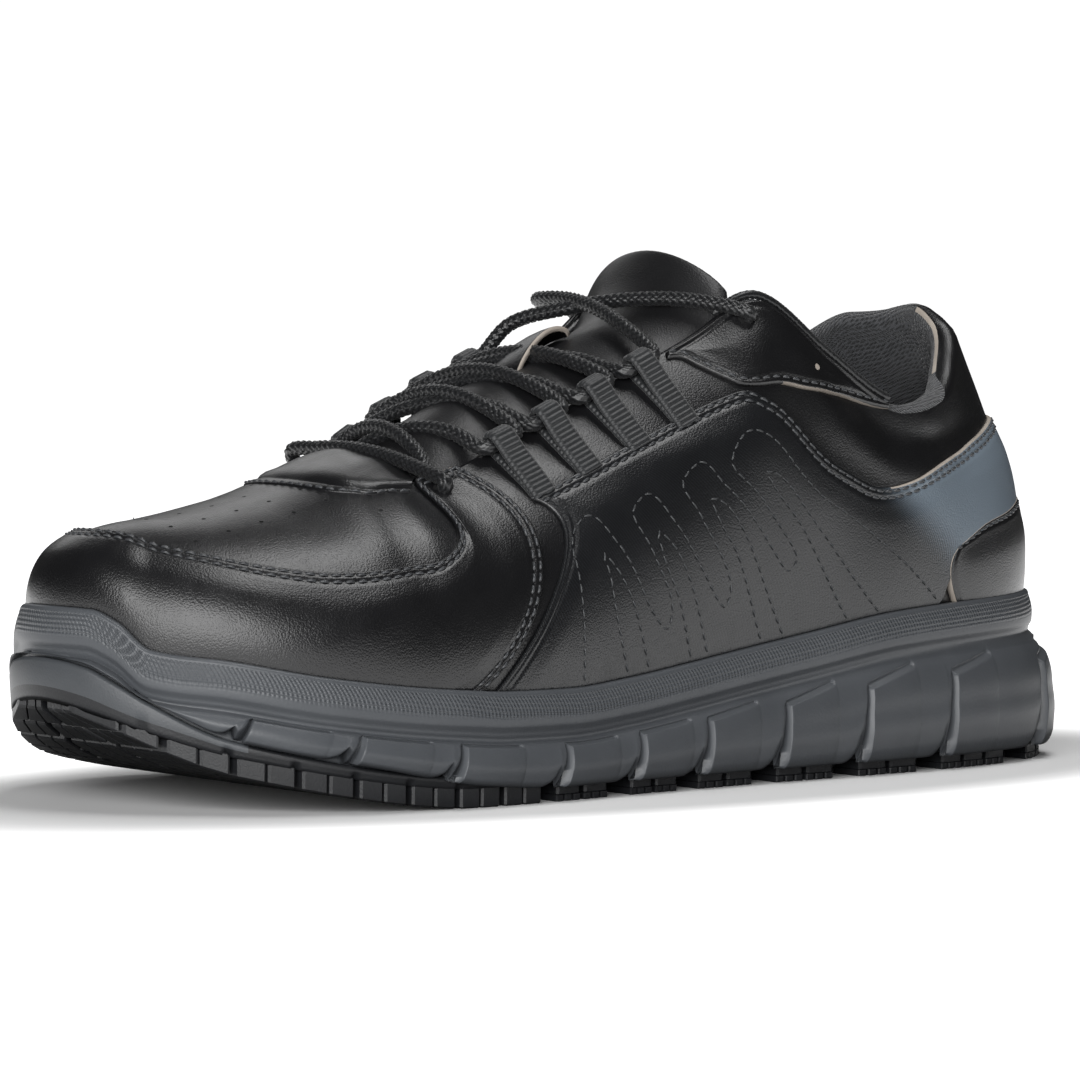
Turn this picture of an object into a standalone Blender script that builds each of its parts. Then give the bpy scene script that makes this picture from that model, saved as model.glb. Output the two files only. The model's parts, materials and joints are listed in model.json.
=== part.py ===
"""Low lace-up work shoe for the left foot, built as a maker assembles it.

All sizes are in millimetres and are turned to metres when a mesh is made.
The toe points along +X, the outer (lateral) side is +Y, and the tread rests on Z = 0.
Every form is worked out from one table of stations that runs along the foot from heel to toe.
"""

from collections import namedtuple
from math import cos, hypot, pi, radians, sin

import bmesh
import bpy
import numpy as np
from mathutils import Vector

MM = 0.001
UP = np.array([0.0, 0.0, 1.0])
WALL_STEPS = 10         # facets up the wall of the upper
SIDE_STEPS = 30         # facets along each side of the shoe

# Walls, gaps and layers
FIT_GAP = 0.35          # clearance between pieces that touch
UPPER_WALL = 2.2        # leather with its lining
COLLAR_PAD = 7.0        # wall of the padded collar
OVERLAY_GAP = 0.75      # overlay above the leather that it is sewn to
OVERLAY_WALL = 1.1      # leather of an overlay
RIM_WALL = 3.4          # cup rim of the midsole around the upper
RIM_BAND = 8.5          # height of the textured band under the rim
INSOLE_THICK = 4.0
TONGUE_THICK = 5.0

# Tread
LUG_HEIGHT = 4.2
PLATE_THICK = 2.3       # rubber plate that carries the lugs
WRAP_WALL = 2.4         # rubber turned up over the toe
WRAP_LIP = 0.7          # least height of that turned edge
WRAP_FULL = 4.3         # climb at which the turned edge lies outside the pods
PLATE_TUCK = 2.6        # how far the plate stays inside the pods elsewhere
TOE_SPRING = 16.0       # rise of the tread at the tip of the toe
SPRING_START = 210.0
SPRING_POWER = 1.55
TOE_CURL = 8.0          # further rise right at the tip
CURL_START = 262.0
HEEL_BEVEL = 3.0        # rise of the tread at the back of the heel
BEVEL_RUN = 20.0
HEEL_X = -7.5           # back and front of the sole
TOE_X = 291.5
LUG_PITCH = 12.6        # rows of lugs under the forefoot
LUG_SLOT = 1.4          # slot between two rows
LUG_SHARE = 0.68        # part of a pod's length that has lugs under it, behind the forefoot
LUG_TARGET = 8.5        # length of a row there, about
FOREFOOT_X = 204.0
LUG_SPLIT = 3.0         # channel between two lugs of one row
LUG_ROOT = 0.8          # how far a lug is sunk in the plate
LUG_INSET = 0.6
LUG_END = 7.0           # plain rubber behind the first row and before the last

# Flex grooves of the midsole side, as distances from the back of the heel
GROOVES = (16.0, 53.0, 82.5, 110.0, 136.0, 158.5, 183.0, 213.5, 238.0, 260.0)
GROOVE_WIDTH = 3.2
GROOVE_DEPTH = 2.6
GROOVE_SLANT = 2.5      # the foot of a groove lies this much nearer the toe

# Laces
LACE_DIAMETER = 4.3
LOOP_STATIONS = (180.0, 167.0, 153.5, 140.0)
LOOP_WIDTH = 7.2
WEBBING = 1.1

Station = namedtuple(
    "Station",
    "x lateral medial floor rim top_x top_lateral top_medial top_z_lateral top_z_medial "
    "lean tilt wall crown pod wrap pad",
)

# One row for each section from heel to toe.
# x, lateral, medial: outline of the upper where it meets the sole; floor, rim: heights of the cup.
# top: edge of collar and throat, and past the throat the ridge of the vamp.
# lean, tilt: angles of the wall at the rim and at the top; wall, crown: fullness there.
# pod: overhang of the midsole; wrap: how far the rubber climbs; pad: share of collar padding.
STATIONS = (
    #        x    lat   med  floor  rim  top_x  t_lat t_med  z_lat  z_med lean tilt  wall crown pod  wrap pad
    Station(2.5, 0.0, 0.0, 33.0, 42.0, 22.0, 0.0, 0.0, 110.5, 110.5, 3, 68, 0.42, 0.44, 10.0, 0.0, 1.0),
    Station(6.5, 17.0, 17.0, 33.0, 42.0, 25.0, 10.5, 10.0, 108.8, 112.0, 4, 70, 0.42, 0.44, 10.0, 0.0, 1.0),
    Station(20.5, 28.5, 28.0, 33.0, 41.5, 31.0, 19.5, 18.0, 101.5, 112.0, 5, 74, 0.42, 0.44, 9.5, 0.0, 1.0),
    Station(42.0, 35.0, 33.5, 32.5, 40.7, 42.0, 28.0, 26.0, 93.0, 106.0, 5, 78, 0.42, 0.40, 8.8, 0.0, 1.0),
    Station(70.0, 39.0, 34.5, 31.0, 39.0, 62.0, 34.5, 31.0, 89.5, 96.0, 5, 78, 0.42, 0.40, 8.0, 0.0, 0.9),
    Station(100.0, 41.0, 33.5, 27.5, 35.0, 88.0, 34.5, 31.0, 102.0, 101.5, 5, 70, 0.42, 0.42, 7.2, 0.0, 0.6),
    Station(122.0, 42.5, 34.5, 24.5, 32.0, 107.0, 29.0, 27.0, 115.0, 114.5, 5, 58, 0.44, 0.42, 6.8, 0.0, 0.3),
    Station(140.0, 44.0, 37.0, 22.3, 29.5, 124.0, 25.0, 24.0, 105.5, 105.0, 5, 46, 0.46, 0.42, 6.6, 0.0, 0.1),
    Station(160.0, 46.0, 40.0, 20.0, 27.0, 150.0, 24.0, 23.0, 93.5, 93.0, 5, 44, 0.48, 0.42, 6.5, 0.0, 0.0),
    Station(180.0, 48.5, 43.5, 18.5, 25.5, 180.0, 22.5, 22.0, 80.0, 80.0, 6, 40, 0.52, 0.44, 6.4, 0.0, 0.0),
    Station(200.0, 50.5, 46.0, 18.0, 25.7, 201.0, 19.5, 19.5, 72.0, 72.0, 7, 28, 0.55, 0.48, 6.2, 0.0, 0.0),
    Station(212.0, 50.7, 46.8, 18.2, 26.5, 210.0, 11.5, 11.5, 73.0, 73.0, 8, 12, 0.56, 0.52, 6.0, 0.0, 0.0),
    Station(224.0, 49.8, 46.8, 19.0, 27.5, 213.5, -1.5, 1.5, 74.2, 74.2, 8, 0, 0.57, 0.54, 5.8, 0.0, 0.0),
    Station(246.0, 45.0, 44.0, 21.5, 30.3, 232.0, -1.5, 1.5, 68.8, 68.8, 8, 0, 0.58, 0.57, 5.3, 0.2, 0.0),
    Station(264.5, 35.2, 35.0, 24.5, 34.0, 250.0, -1.5, 1.5, 65.0, 65.0, 8, 0, 0.60, 0.60, 5.0, 0.8, 0.0),
    Station(276.5, 23.7, 23.0, 26.5, 37.8, 259.0, -1.5, 1.5, 63.8, 63.8, 6, 0, 0.62, 0.62, 5.2, 4.3, 0.0),
    Station(283.5, 11.5, 11.7, 28.0, 43.5, 262.0, -1.5, 1.5, 63.5, 63.5, 4, 0, 0.63, 0.63, 5.4, 7.0, 0.0),
    Station(286.0, 0.0, 0.0, 28.5, 45.0, 263.0, -1.5, 1.5, 63.4, 63.4, 3, 0, 0.63, 0.63, 5.5, 6.8, 0.0),
)


def loop_columns():
    """Columns of the stations taken round the shoe: heel, lateral side, toe, medial side."""
    rows = []
    for side, stations in ((1, STATIONS), (-1, STATIONS[-2:0:-1])):
        for row in stations:
            y, top_y, top_z = (
                (row.lateral, row.top_lateral, row.top_z_lateral)
                if side > 0
                else (-row.medial, -row.top_medial, row.top_z_medial)
            )
            rows.append(
                (row.x, y, row.floor, row.rim, row.top_x, top_y, top_z, radians(row.lean),
                 radians(row.tilt), row.wall, row.crown, row.pod, row.wrap, row.pad)
            )
    return np.array(rows)


COLUMNS = loop_columns()
X, Y, FLOOR, RIM, TOP_X, TOP_Y, TOP_Z, LEAN, TILT, WALL, CROWN, POD, WRAP, PAD = range(COLUMNS.shape[1])


def chord_knots():
    """Distance round the outline at each station, the same on both sides, with the full length last."""
    closed = np.vstack([COLUMNS[:, (X, Y)], COLUMNS[:1, (X, Y)]])
    steps = np.hypot(*np.diff(closed, axis=0).T)
    steps = (steps + steps[::-1]) / 2
    return np.concatenate([[0.0], np.cumsum(steps)])


KNOTS = chord_knots()
ROUND = KNOTS[-1]
TOE = KNOTS[len(STATIONS) - 1]


def outline_slopes():
    """Slopes of a periodic cubic spline through the outline, smooth to the second order."""
    steps = np.diff(KNOTS)
    count = len(steps)
    points = COLUMNS[:, (X, Y)]
    secants = (np.roll(points, -1, axis=0) - points) / steps[:, None]
    system = np.zeros((count, count))
    right = np.zeros((count, 2))
    for i in range(count):
        before, after = steps[i - 1], steps[i]
        system[i, i - 1] += after
        system[i, i] += 2 * (before + after)
        system[i, (i + 1) % count] += before
        right[i] = 3 * (after * secants[i - 1] + before * secants[i])
    return np.linalg.solve(system, right)


def shape_keeping_slopes(values):
    """Slopes that keep each column between its neighbours, so level stretches stay level."""
    steps = np.diff(KNOTS)
    secants = (np.roll(values, -1) - values) / steps
    slopes = np.zeros(len(values))
    for i in range(len(values)):
        left, right = secants[i - 1], secants[i]
        if left * right > 0:
            near, far = 2 * steps[i] + steps[i - 1], steps[i] + 2 * steps[i - 1]
            slopes[i] = (near + far) / (near / left + far / right)
    return slopes


def all_slopes():
    slopes = np.column_stack([shape_keeping_slopes(COLUMNS[:, c]) for c in range(COLUMNS.shape[1])])
    slopes[:, (X, Y)] = outline_slopes()
    return slopes


SLOPES = all_slopes()


def at(u):
    """All columns at the distance u round the outline, and their rates of change."""
    u = u % ROUND
    i = min(int(np.searchsorted(KNOTS, u, side="right")) - 1, len(COLUMNS) - 1)
    j = (i + 1) % len(COLUMNS)
    step = KNOTS[i + 1] - KNOTS[i]
    q = (u - KNOTS[i]) / step
    values = (
        (1 + 2 * q) * (1 - q) ** 2 * COLUMNS[i]
        + q * (1 - q) ** 2 * step * SLOPES[i]
        + q * q * (3 - 2 * q) * COLUMNS[j]
        + q * q * (q - 1) * step * SLOPES[j]
    )
    rates = (
        6 * q * (q - 1) / step * (COLUMNS[i] - COLUMNS[j])
        + (1 - q) * (1 - 3 * q) * SLOPES[i]
        + q * (3 * q - 2) * SLOPES[j]
    )
    return values, rates


def outward(rates):
    """Level unit vector that points out of the outline."""
    length = hypot(rates[X], rates[Y])
    return np.array([-rates[Y], rates[X], 0.0]) / length


def u_at(x, side):
    """Distance round the outline where one side passes the length x."""
    spans = np.linspace(0.0, TOE, 400) if side > 0 else np.linspace(ROUND, TOE, 400)
    lengths = [at(u)[0][X] for u in spans]
    return float(np.interp(x, lengths, spans))


def wall_point(u, t):
    """Point on the outside of the upper: t runs from 0 at the rim to 1 at the top edge."""
    row, rates = at(u)
    out = outward(rates)
    foot = np.array([row[X], row[Y], row[RIM]])
    top = np.array([row[TOP_X], row[TOP_Y], row[TOP_Z]])
    rise = top[2] - foot[2]
    reach = hypot(top[0] - foot[0], top[1] - foot[1])
    along = out
    if row[TILT] < radians(1.0):
        level = foot - top
        level[2] = 0.0
        along = level / np.linalg.norm(level)
    fall = ridge_fall(row[TOP_X]) * along[0] * cos(row[TILT])
    crown = along * cos(row[TILT]) - UP * (sin(row[TILT]) + fall)
    foot_handle = foot + (UP * cos(row[LEAN]) + out * sin(row[LEAN])) * rise * row[WALL]
    top_handle = top + crown * row[CROWN] * (reach * cos(row[TILT]) + rise * sin(row[TILT]))
    s = 1 - t
    return s**3 * foot + 3 * s * s * t * foot_handle + 3 * s * t * t * top_handle + t**3 * top


def ridge_fall(x):
    """Fall of the vamp ridge towards the toe, per millimetre."""
    return float(np.interp(x, (200.0, 222.0, 250.0, 266.0), (0.0, 0.27, 0.12, 0.08)))


def wall_normal(u, t):
    """Outward unit normal of the upper."""
    step_u, step_t = 0.4, 0.004
    low, high = max(t - step_t, 0.0), min(t + step_t, 1.0)
    du = wall_point(u + step_u, t) - wall_point(u - step_u, t)
    dt = wall_point(u, high) - wall_point(u, low)
    normal = np.cross(dt, du)
    return normal / np.linalg.norm(normal)


def skin_point(u, t, height):
    """Point that lies the given height above the outside of the upper."""
    return wall_point(u, t) + wall_normal(u, t) * height


def wall_thickness(u, t):
    """Thickness of the upper, which swells to the padding towards the collar edge."""
    share = min(1.0, max(0.0, (t - 0.5) / 0.35)) * at(u)[0][PAD]
    return UPPER_WALL + (COLLAR_PAD - UPPER_WALL) * share


def ground(x):
    """Height of the tread above the floor: level under ball and heel, rising to the toe."""
    spring = max(0.0, (x - SPRING_START) / (TOE_X - SPRING_START))
    curl = max(0.0, (x - CURL_START) / (TOE_X - CURL_START))
    bevel = max(0.0, (HEEL_X + BEVEL_RUN - x) / BEVEL_RUN)
    return TOE_SPRING * spring**SPRING_POWER + TOE_CURL * curl**2 + HEEL_BEVEL * bevel**2


# Mesh helpers


def new_object(name, material, bm, smooth_angle=40.0):
    bmesh.ops.recalc_face_normals(bm, faces=bm.faces[:])
    mesh = bpy.data.meshes.new(name)
    bm.to_mesh(mesh)
    bm.free()
    mesh.shade_smooth()
    mesh.set_sharp_from_angle(angle=radians(smooth_angle))
    mesh.materials.append(material)
    obj = bpy.data.objects.new(name, mesh)
    bpy.context.scene.collection.objects.link(obj)
    return obj


def place(point):
    return Vector((point[0] - ORIGIN[0], point[1] - ORIGIN[1], point[2])) * MM


def add_ring(bm, points):
    return [bm.verts.new(place(p)) for p in points]


def bridge(bm, first, second, closed=True):
    count = len(first)
    for i in range(count if closed else count - 1):
        j = (i + 1) % count
        bm.faces.new((first[i], first[j], second[j], second[i]))


def ladder(bm, ring):
    """Closes a ring that runs heel, lateral, toe, medial with rungs from side to side."""
    half = len(ring) // 2
    for i in range(half):
        corners = (ring[i], ring[i + 1], ring[-i - 1], ring[-i]) if i else (ring[0], ring[1], ring[-1])
        if i == half - 1:
            corners = (ring[i], ring[half], ring[-i])
        bm.faces.new(corners)


def stacked(name, material, rings, smooth_angle=40.0):
    """Solid from closed rings, capped with rungs at the first and the last one."""
    bm = bmesh.new()
    made = [add_ring(bm, ring) for ring in rings]
    for first, second in zip(made, made[1:]):
        bridge(bm, first, second)
    ladder(bm, made[0])
    ladder(bm, made[-1])
    return new_object(name, material, bm, smooth_angle)


def material(name, colour, roughness, metallic=0.0):
    made = bpy.data.materials.new(name)
    made.use_nodes = True
    shader = made.node_tree.nodes["Principled BSDF"]
    shader.inputs["Base Color"].default_value = (*colour, 1.0)
    shader.inputs["Roughness"].default_value = roughness
    shader.inputs["Metallic"].default_value = metallic
    return made


def both_sides(lateral):
    """Distances for a closed ring from those of its lateral side, heel and toe included."""
    return list(lateral) + [ROUND - u for u in lateral[-2:0:-1]]


def lateral_rounds(per_side):
    """Distances along the lateral side, spread by station so that toe and heel get more of them."""
    last = len(STATIONS) - 1
    return list(np.interp(np.linspace(0, last, per_side + 1), range(last + 1), KNOTS[: last + 1]))


def even_rounds(per_side):
    return both_sides(lateral_rounds(per_side))


def offset_point(u, out, z):
    row, rates = at(u)
    point = np.array([row[X], row[Y], z]) + outward(rates) * out
    point[2] = z
    return point


# Sole


def plate_top(u):
    row, _ = at(u)
    return ground(row[X]) + LUG_HEIGHT + PLATE_THICK


def wrap_top(u):
    return plate_top(u) + WRAP_LIP + at(u)[0][WRAP]


def plate_out(u):
    """Overhang of the rubber plate past the upper: tucked under the pods, level with them at the toe."""
    row, _ = at(u)
    return row[POD] - PLATE_TUCK * (1 - min(1.0, row[WRAP] / WRAP_FULL))


def groove_rounds(per_side):
    """Even distances round the sole, with the edges of every flex groove added, and their depths."""
    depths = {u: 0.0 for u in lateral_rounds(per_side)}
    for x in GROOVES:
        centre = u_at(x, 1)
        depths = {u: d for u, d in depths.items() if abs(u - centre) > GROOVE_WIDTH * 0.9}
        for edge in (-0.5, 0.0, 0.5):
            depths[centre + edge * GROOVE_WIDTH] = 0.0 if edge else GROOVE_DEPTH
    lateral = sorted(depths)
    cuts = [depths[u] for u in lateral]
    return list(zip(both_sides(lateral), cuts + cuts[-2:0:-1]))


def midsole_rings(rounds):
    """Rings of the midsole from the cup floor over the rim and down the stepped side."""
    rings = []

    def ring(shape):
        points = []
        for u, cut in rounds:
            row, _ = at(u)
            out, z = shape(u, row, cut)
            points.append(offset_point(u, out, z))
        rings.append(points)

    def band_foot(row):
        return row[RIM] - RIM_BAND

    def pod_z(u, row, share):
        """Height on the pod: share 0 at its foot and 1 at the groove under the band."""
        low = wrap_top(u) + FIT_GAP
        return low + (band_foot(row) - 2.4 - low) * share

    ring(lambda u, row, cut: (FIT_GAP, row[FLOOR]))
    ring(lambda u, row, cut: (FIT_GAP, row[RIM]))
    ring(lambda u, row, cut: (RIM_WALL - 0.9, row[RIM]))
    ring(lambda u, row, cut: (RIM_WALL, row[RIM] - 1.0))
    ring(lambda u, row, cut: (RIM_WALL + 0.9, band_foot(row)))
    ring(lambda u, row, cut: (RIM_WALL - 0.1, band_foot(row) - 1.8))
    ring(lambda u, row, cut: (row[POD] * 0.78 - cut * 0.4, pod_z(u, row, 0.8)))
    ring(lambda u, row, cut: (row[POD] - cut, pod_z(u, row, 0.45)))
    ring(lambda u, row, cut: (row[POD] - 0.3 - cut, pod_z(u, row, 0.16)))
    ring(lambda u, row, cut: (row[POD] - 1.8 - cut * 0.3, pod_z(u, row, 0.0)))
    ring(lambda u, row, cut: (plate_out(u) - WRAP_WALL - FIT_GAP, pod_z(u, row, 0.0)))
    ring(lambda u, row, cut: (plate_out(u) - WRAP_WALL - FIT_GAP, plate_top(u) + FIT_GAP))
    return rings


def build_midsole(finish):
    return stacked("midsole", finish, midsole_rings(groove_rounds(SIDE_STEPS)), 30.0)


def outsole_plate(finish):
    rounds = even_rounds(SIDE_STEPS)
    rings = [
        [offset_point(u, plate_out(u) - 0.8, ground(at(u)[0][X]) + LUG_HEIGHT) for u in rounds],
        [offset_point(u, plate_out(u), wrap_top(u) - 0.5) for u in rounds],
        [offset_point(u, plate_out(u) - 0.5, wrap_top(u)) for u in rounds],
        [offset_point(u, plate_out(u) - WRAP_WALL, wrap_top(u)) for u in rounds],
        [offset_point(u, plate_out(u) - WRAP_WALL, plate_top(u)) for u in rounds],
    ]
    return stacked("outsole", finish, rings, 30.0)


def edge_y(x, side):
    """Side position of the plate's edge at the length x, measured on the plate's own outline."""
    spans = np.linspace(0.0, TOE, 200) if side > 0 else np.linspace(ROUND, TOE, 200)
    points = [offset_point(u, plate_out(u) - 0.8 - LUG_INSET, 0.0) for u in spans]
    return float(np.interp(x, [p[0] for p in points], [p[1] for p in points]))


def lug_rows():
    """Start and end of every row of lugs: clusters under the pods, then even rows under the forefoot."""
    rows = []
    marks = [HEEL_X + LUG_END / 2] + [x + GROOVE_SLANT for x in GROOVES if x < FOREFOOT_X]
    for back, front in zip(marks, marks[1:]):
        length = (front - back) * LUG_SHARE
        count = max(1, round(length / LUG_TARGET))
        step = (length + LUG_SLOT) / count
        for i in range(count):
            end = front - LUG_SLOT / 2 - i * step
            rows.append((end - step + LUG_SLOT, end))
    start = marks[-1] + LUG_SLOT * 3
    while start + LUG_PITCH - LUG_SLOT < TOE_X - LUG_END:
        rows.append((start, start + LUG_PITCH - LUG_SLOT))
        start += LUG_PITCH
    return sorted(rows)


def lug_block(bm, x0, x1, shares):
    """One lug between two shares of the sole's width, from the tread up into the plate."""
    corners = []
    for x, share in ((x0, shares[0]), (x1, shares[0]), (x1, shares[1]), (x0, shares[1])):
        low, high = edge_y(x, -1), edge_y(x, 1)
        y = low + (high - low) * share
        gap = LUG_SPLIT / 2 * (0 < share < 1) * (1 if share == shares[0] else -1)
        corners.append((x, y + gap))
    foot = [bm.verts.new(place((x, y, ground(x)))) for x, y in corners]
    head = [bm.verts.new(place((x, y, ground(x) + LUG_HEIGHT + LUG_ROOT))) for x, y in corners]
    bm.faces.new(foot[::-1])
    bm.faces.new(head)
    bridge(bm, foot, head)


def build_outsole(finish):
    plate = outsole_plate(finish)
    bm = bmesh.new()
    for x0, x1 in lug_rows():
        width = edge_y((x0 + x1) / 2, 1) - edge_y((x0 + x1) / 2, -1)
        columns = 3 if width > 50 else 2
        for c in range(columns):
            lug_block(bm, x0, x1, (c / columns, (c + 1) / columns))
    lugs = new_object("lug_cutter", finish, bm)
    join(plate, lugs)
    return plate


def join(target, other, operation="UNION"):
    """Applies a Boolean of other to target and removes other."""
    modifier = target.modifiers.new("join", "BOOLEAN")
    modifier.operation = operation
    modifier.object = other
    bpy.context.view_layer.objects.active = target
    for obj in bpy.context.selected_objects:
        obj.select_set(False)
    target.select_set(True)
    bpy.ops.object.modifier_apply(modifier=modifier.name)
    bpy.data.objects.remove(other)


# Upper


def upper_heights(count):
    """Shares of the wall height, closer together near the rim and the top edge."""
    steps = np.linspace(0.0, 1.0, count)
    return list(steps - 0.06 * np.sin(2 * pi * steps))


def build_upper(finish):
    rounds = even_rounds(SIDE_STEPS)
    heights = upper_heights(WALL_STEPS + 1)
    rings = [[offset_point(u, 0.0, at(u)[0][FLOOR] + FIT_GAP) for u in rounds]]
    rings += [[wall_point(u, t) for u in rounds] for t in heights]
    bm = bmesh.new()
    weights = bm.verts.layers.deform.verify()
    made = [add_ring(bm, ring) for ring in rings]
    for first, second in zip(made, made[1:]):
        bridge(bm, first, second)
    for ring, t in zip(made, [0.0] + heights):
        for vert, u in zip(ring, rounds):
            vert[weights][0] = wall_thickness(u, t) / COLLAR_PAD
    bmesh.ops.remove_doubles(bm, verts=bm.verts[:], dist=0.02 * MM)
    upper = new_object("upper", finish, bm)
    upper.vertex_groups.new(name="padding")
    wall = upper.modifiers.new("wall", "SOLIDIFY")
    wall.thickness = COLLAR_PAD * MM
    wall.offset = -1.0
    wall.vertex_group = "padding"
    return upper


# Insole


def build_insole(finish):
    rounds = even_rounds(SIDE_STEPS)
    inset = -(UPPER_WALL + FIT_GAP)

    def ring(out, height):
        return [offset_point(u, out, at(u)[0][FLOOR] + FIT_GAP + height) for u in rounds]

    rings = [
        ring(inset, 0.0),
        ring(inset, INSOLE_THICK),
        ring(inset - 8.0, INSOLE_THICK - 0.8),
    ]
    return stacked("insole", finish, rings)


# Overlays: leather pieces sewn on the upper, each a sheet that follows the upper's own function

Seam = namedtuple("Seam", "foot_x foot_t waist_x waist_t head_x head_t")

# One row for each line up the piece: station x and share t of the wall height at foot, waist and head.
MUDGUARD = (
    Seam(207.0, 0.02, 184.0, 0.42, 188.5, 0.94),
    Seam(212.0, 0.02, 193.0, 0.41, 195.0, 0.94),
    Seam(218.0, 0.02, 202.0, 0.37, 201.0, 0.94),
    Seam(222.0, 0.02, 207.0, 0.30, 202.0, 0.72),
    Seam(226.0, 0.02, 213.0, 0.25, 206.0, 0.56),
    Seam(231.0, 0.02, 222.0, 0.21, 214.0, 0.43),
    Seam(237.0, 0.02, 231.0, 0.18, 225.5, 0.37),
    Seam(245.0, 0.02, 242.0, 0.19, 240.0, 0.38),
    Seam(256.0, 0.02, 255.0, 0.22, 254.5, 0.43),
    Seam(268.5, 0.02, 268.0, 0.27, 268.0, 0.52),
    Seam(280.0, 0.02, 280.0, 0.33, 280.0, 0.63),
    Seam(286.0, 0.02, 286.0, 0.35, 286.0, 0.68),
)

QUARTER = (
    Seam(203.0, 0.02, 179.5, 0.42, 181.0, 0.70),
    Seam(188.0, 0.02, 170.0, 0.42, 169.0, 0.73),
    Seam(170.0, 0.02, 158.0, 0.42, 156.0, 0.735),
    Seam(150.0, 0.02, 143.0, 0.41, 143.0, 0.74),
    Seam(130.0, 0.02, 127.0, 0.38, 126.5, 0.70),
    Seam(110.0, 0.02, 109.0, 0.34, 108.5, 0.63),
    Seam(86.0, 0.02, 86.0, 0.32, 86.0, 0.58),
    Seam(68.0, 0.02, 69.0, 0.33, 69.0, 0.60),
    Seam(54.0, 0.02, 54.0, 0.36, 52.0, 0.67),
    Seam(53.0, 0.20, 39.0, 0.44, 34.0, 0.68),
    Seam(36.0, 0.345, 24.0, 0.50, 20.0, 0.66),
    Seam(16.0, 0.37, 11.5, 0.50, 9.0, 0.63),
)

COLLAR = (
    Seam(146.0, 0.86, 145.0, 0.90, 144.0, 0.94),
    Seam(138.5, 0.80, 137.5, 0.88, 136.0, 0.955),
    Seam(131.0, 0.75, 130.5, 0.86, 130.0, 0.965),
    Seam(122.5, 0.74, 122.0, 0.86, 122.0, 0.97),
    Seam(112.0, 0.80, 111.5, 0.89, 111.0, 0.97),
    Seam(102.0, 0.86, 101.5, 0.92, 101.0, 0.97),
    Seam(86.0, 0.92, 85.5, 0.945, 85.0, 0.97),
)

COUNTER = (
    Seam(45.0, 0.03, 47.5, 0.13, 44.5, 0.23),
    Seam(36.0, 0.03, 37.0, 0.15, 34.0, 0.28),
    Seam(24.0, 0.03, 24.0, 0.16, 22.0, 0.30),
    Seam(12.0, 0.03, 12.0, 0.16, 12.0, 0.31),
    Seam(5.0, 0.03, 5.0, 0.16, 5.0, 0.31),
    Seam(2.5, 0.03, 2.5, 0.16, 2.5, 0.31),
)


def seam_lines(rows, sides):
    """Control points (u, t) of every line up a piece, on one side or round from side to side."""
    lines = []
    for side in sides:
        ordered = rows if side == sides[0] else rows[-2::-1]
        for row in ordered:
            lines.append(
                [
                    (u_at(row.foot_x, side), row.foot_t),
                    (u_at(row.waist_x, side), row.waist_t),
                    (u_at(row.head_x, side), row.head_t),
                ]
            )
    return np.array(lines)


def between_lines(lines, a):
    """Line at the fraction a of the row count, by a smooth blend of its neighbours."""
    last = len(lines) - 1
    i = min(int(a), last - 1)
    q = a - i
    before, first = lines[max(i - 1, 0)], lines[i]
    second, after = lines[i + 1], lines[min(i + 2, last)]
    return (
        first
        + 0.5 * q * (second - before)
        + q * q * (before - 2.5 * first + 2 * second - 0.5 * after)
        + q**3 * (1.5 * (first - second) + 0.5 * (after - before))
    )


def on_line(line, b):
    """Station (u, t) on a line: b runs from 0 at its foot over 0.5 at its waist to 1 at its head."""
    foot, waist, head = line
    return (1 - b) * (1 - 2 * b) * foot + 4 * b * (1 - b) * waist + b * (2 * b - 1) * head


def build_overlay(name, finish, rows, sides, steps, across):
    lines = seam_lines(rows, sides)
    lines[:, :, 0] = continuous(lines[:, :, 0])
    spots = [
        [on_line(between_lines(lines, a), b) for b in np.linspace(0.0, 1.0, across + 1)]
        for a in np.linspace(0.0, len(lines) - 1, steps + 1)
    ]
    inner = [[skin_point(u, t, OVERLAY_GAP) for u, t in line] for line in spots]
    outer = [[skin_point(u, t, OVERLAY_GAP + OVERLAY_WALL) for u, t in line] for line in spots]
    return sheet(name, finish, inner, outer)


def continuous(distances):
    """Distances past the heel that do not jump by the full round of the outline."""
    if distances.max() - distances.min() > ROUND * 0.9:
        return np.where(distances > ROUND / 2, distances - ROUND, distances)
    return distances


def sheet(name, finish, inner, outer, smooth_angle=40.0):
    """Closed solid between two grids of points."""
    bm = bmesh.new()
    low = [add_ring(bm, line) for line in inner]
    high = [add_ring(bm, line) for line in outer]
    for grid in (low, high):
        for first, second in zip(grid, grid[1:]):
            bridge(bm, first, second, closed=False)
    for below, above in (
        (low[0], high[0]),
        (low[-1], high[-1]),
        ([line[0] for line in low], [line[0] for line in high]),
        ([line[-1] for line in low], [line[-1] for line in high]),
    ):
        bridge(bm, below, above, closed=False)
    return new_object(name, finish, bm, smooth_angle)


# Tongue

TongueRow = namedtuple("TongueRow", "x edge_t crown_z thick")

# Rows under the vamp and the throat: length x of the throat edge above, where the tongue ends
# under it, and the height of the tongue's crown.
TONGUE = (
    TongueRow(226.0, 0.72, 67.0, 1.6),
    TongueRow(213.5, 0.78, 69.6, 2.4),
    TongueRow(206.0, 0.90, 71.4, 3.2),
    TongueRow(198.0, 0.92, 75.6, 4.4),
    TongueRow(188.0, 0.93, 81.0, TONGUE_THICK),
    TongueRow(172.0, 0.93, 88.0, TONGUE_THICK),
    TongueRow(156.0, 0.93, 95.5, TONGUE_THICK),
    TongueRow(140.0, 0.93, 103.0, TONGUE_THICK),
    TongueRow(126.0, 0.94, 110.5, TONGUE_THICK),
)

TongueTop = namedtuple("TongueTop", "x z edge_x edge_y edge_z thick")

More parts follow.
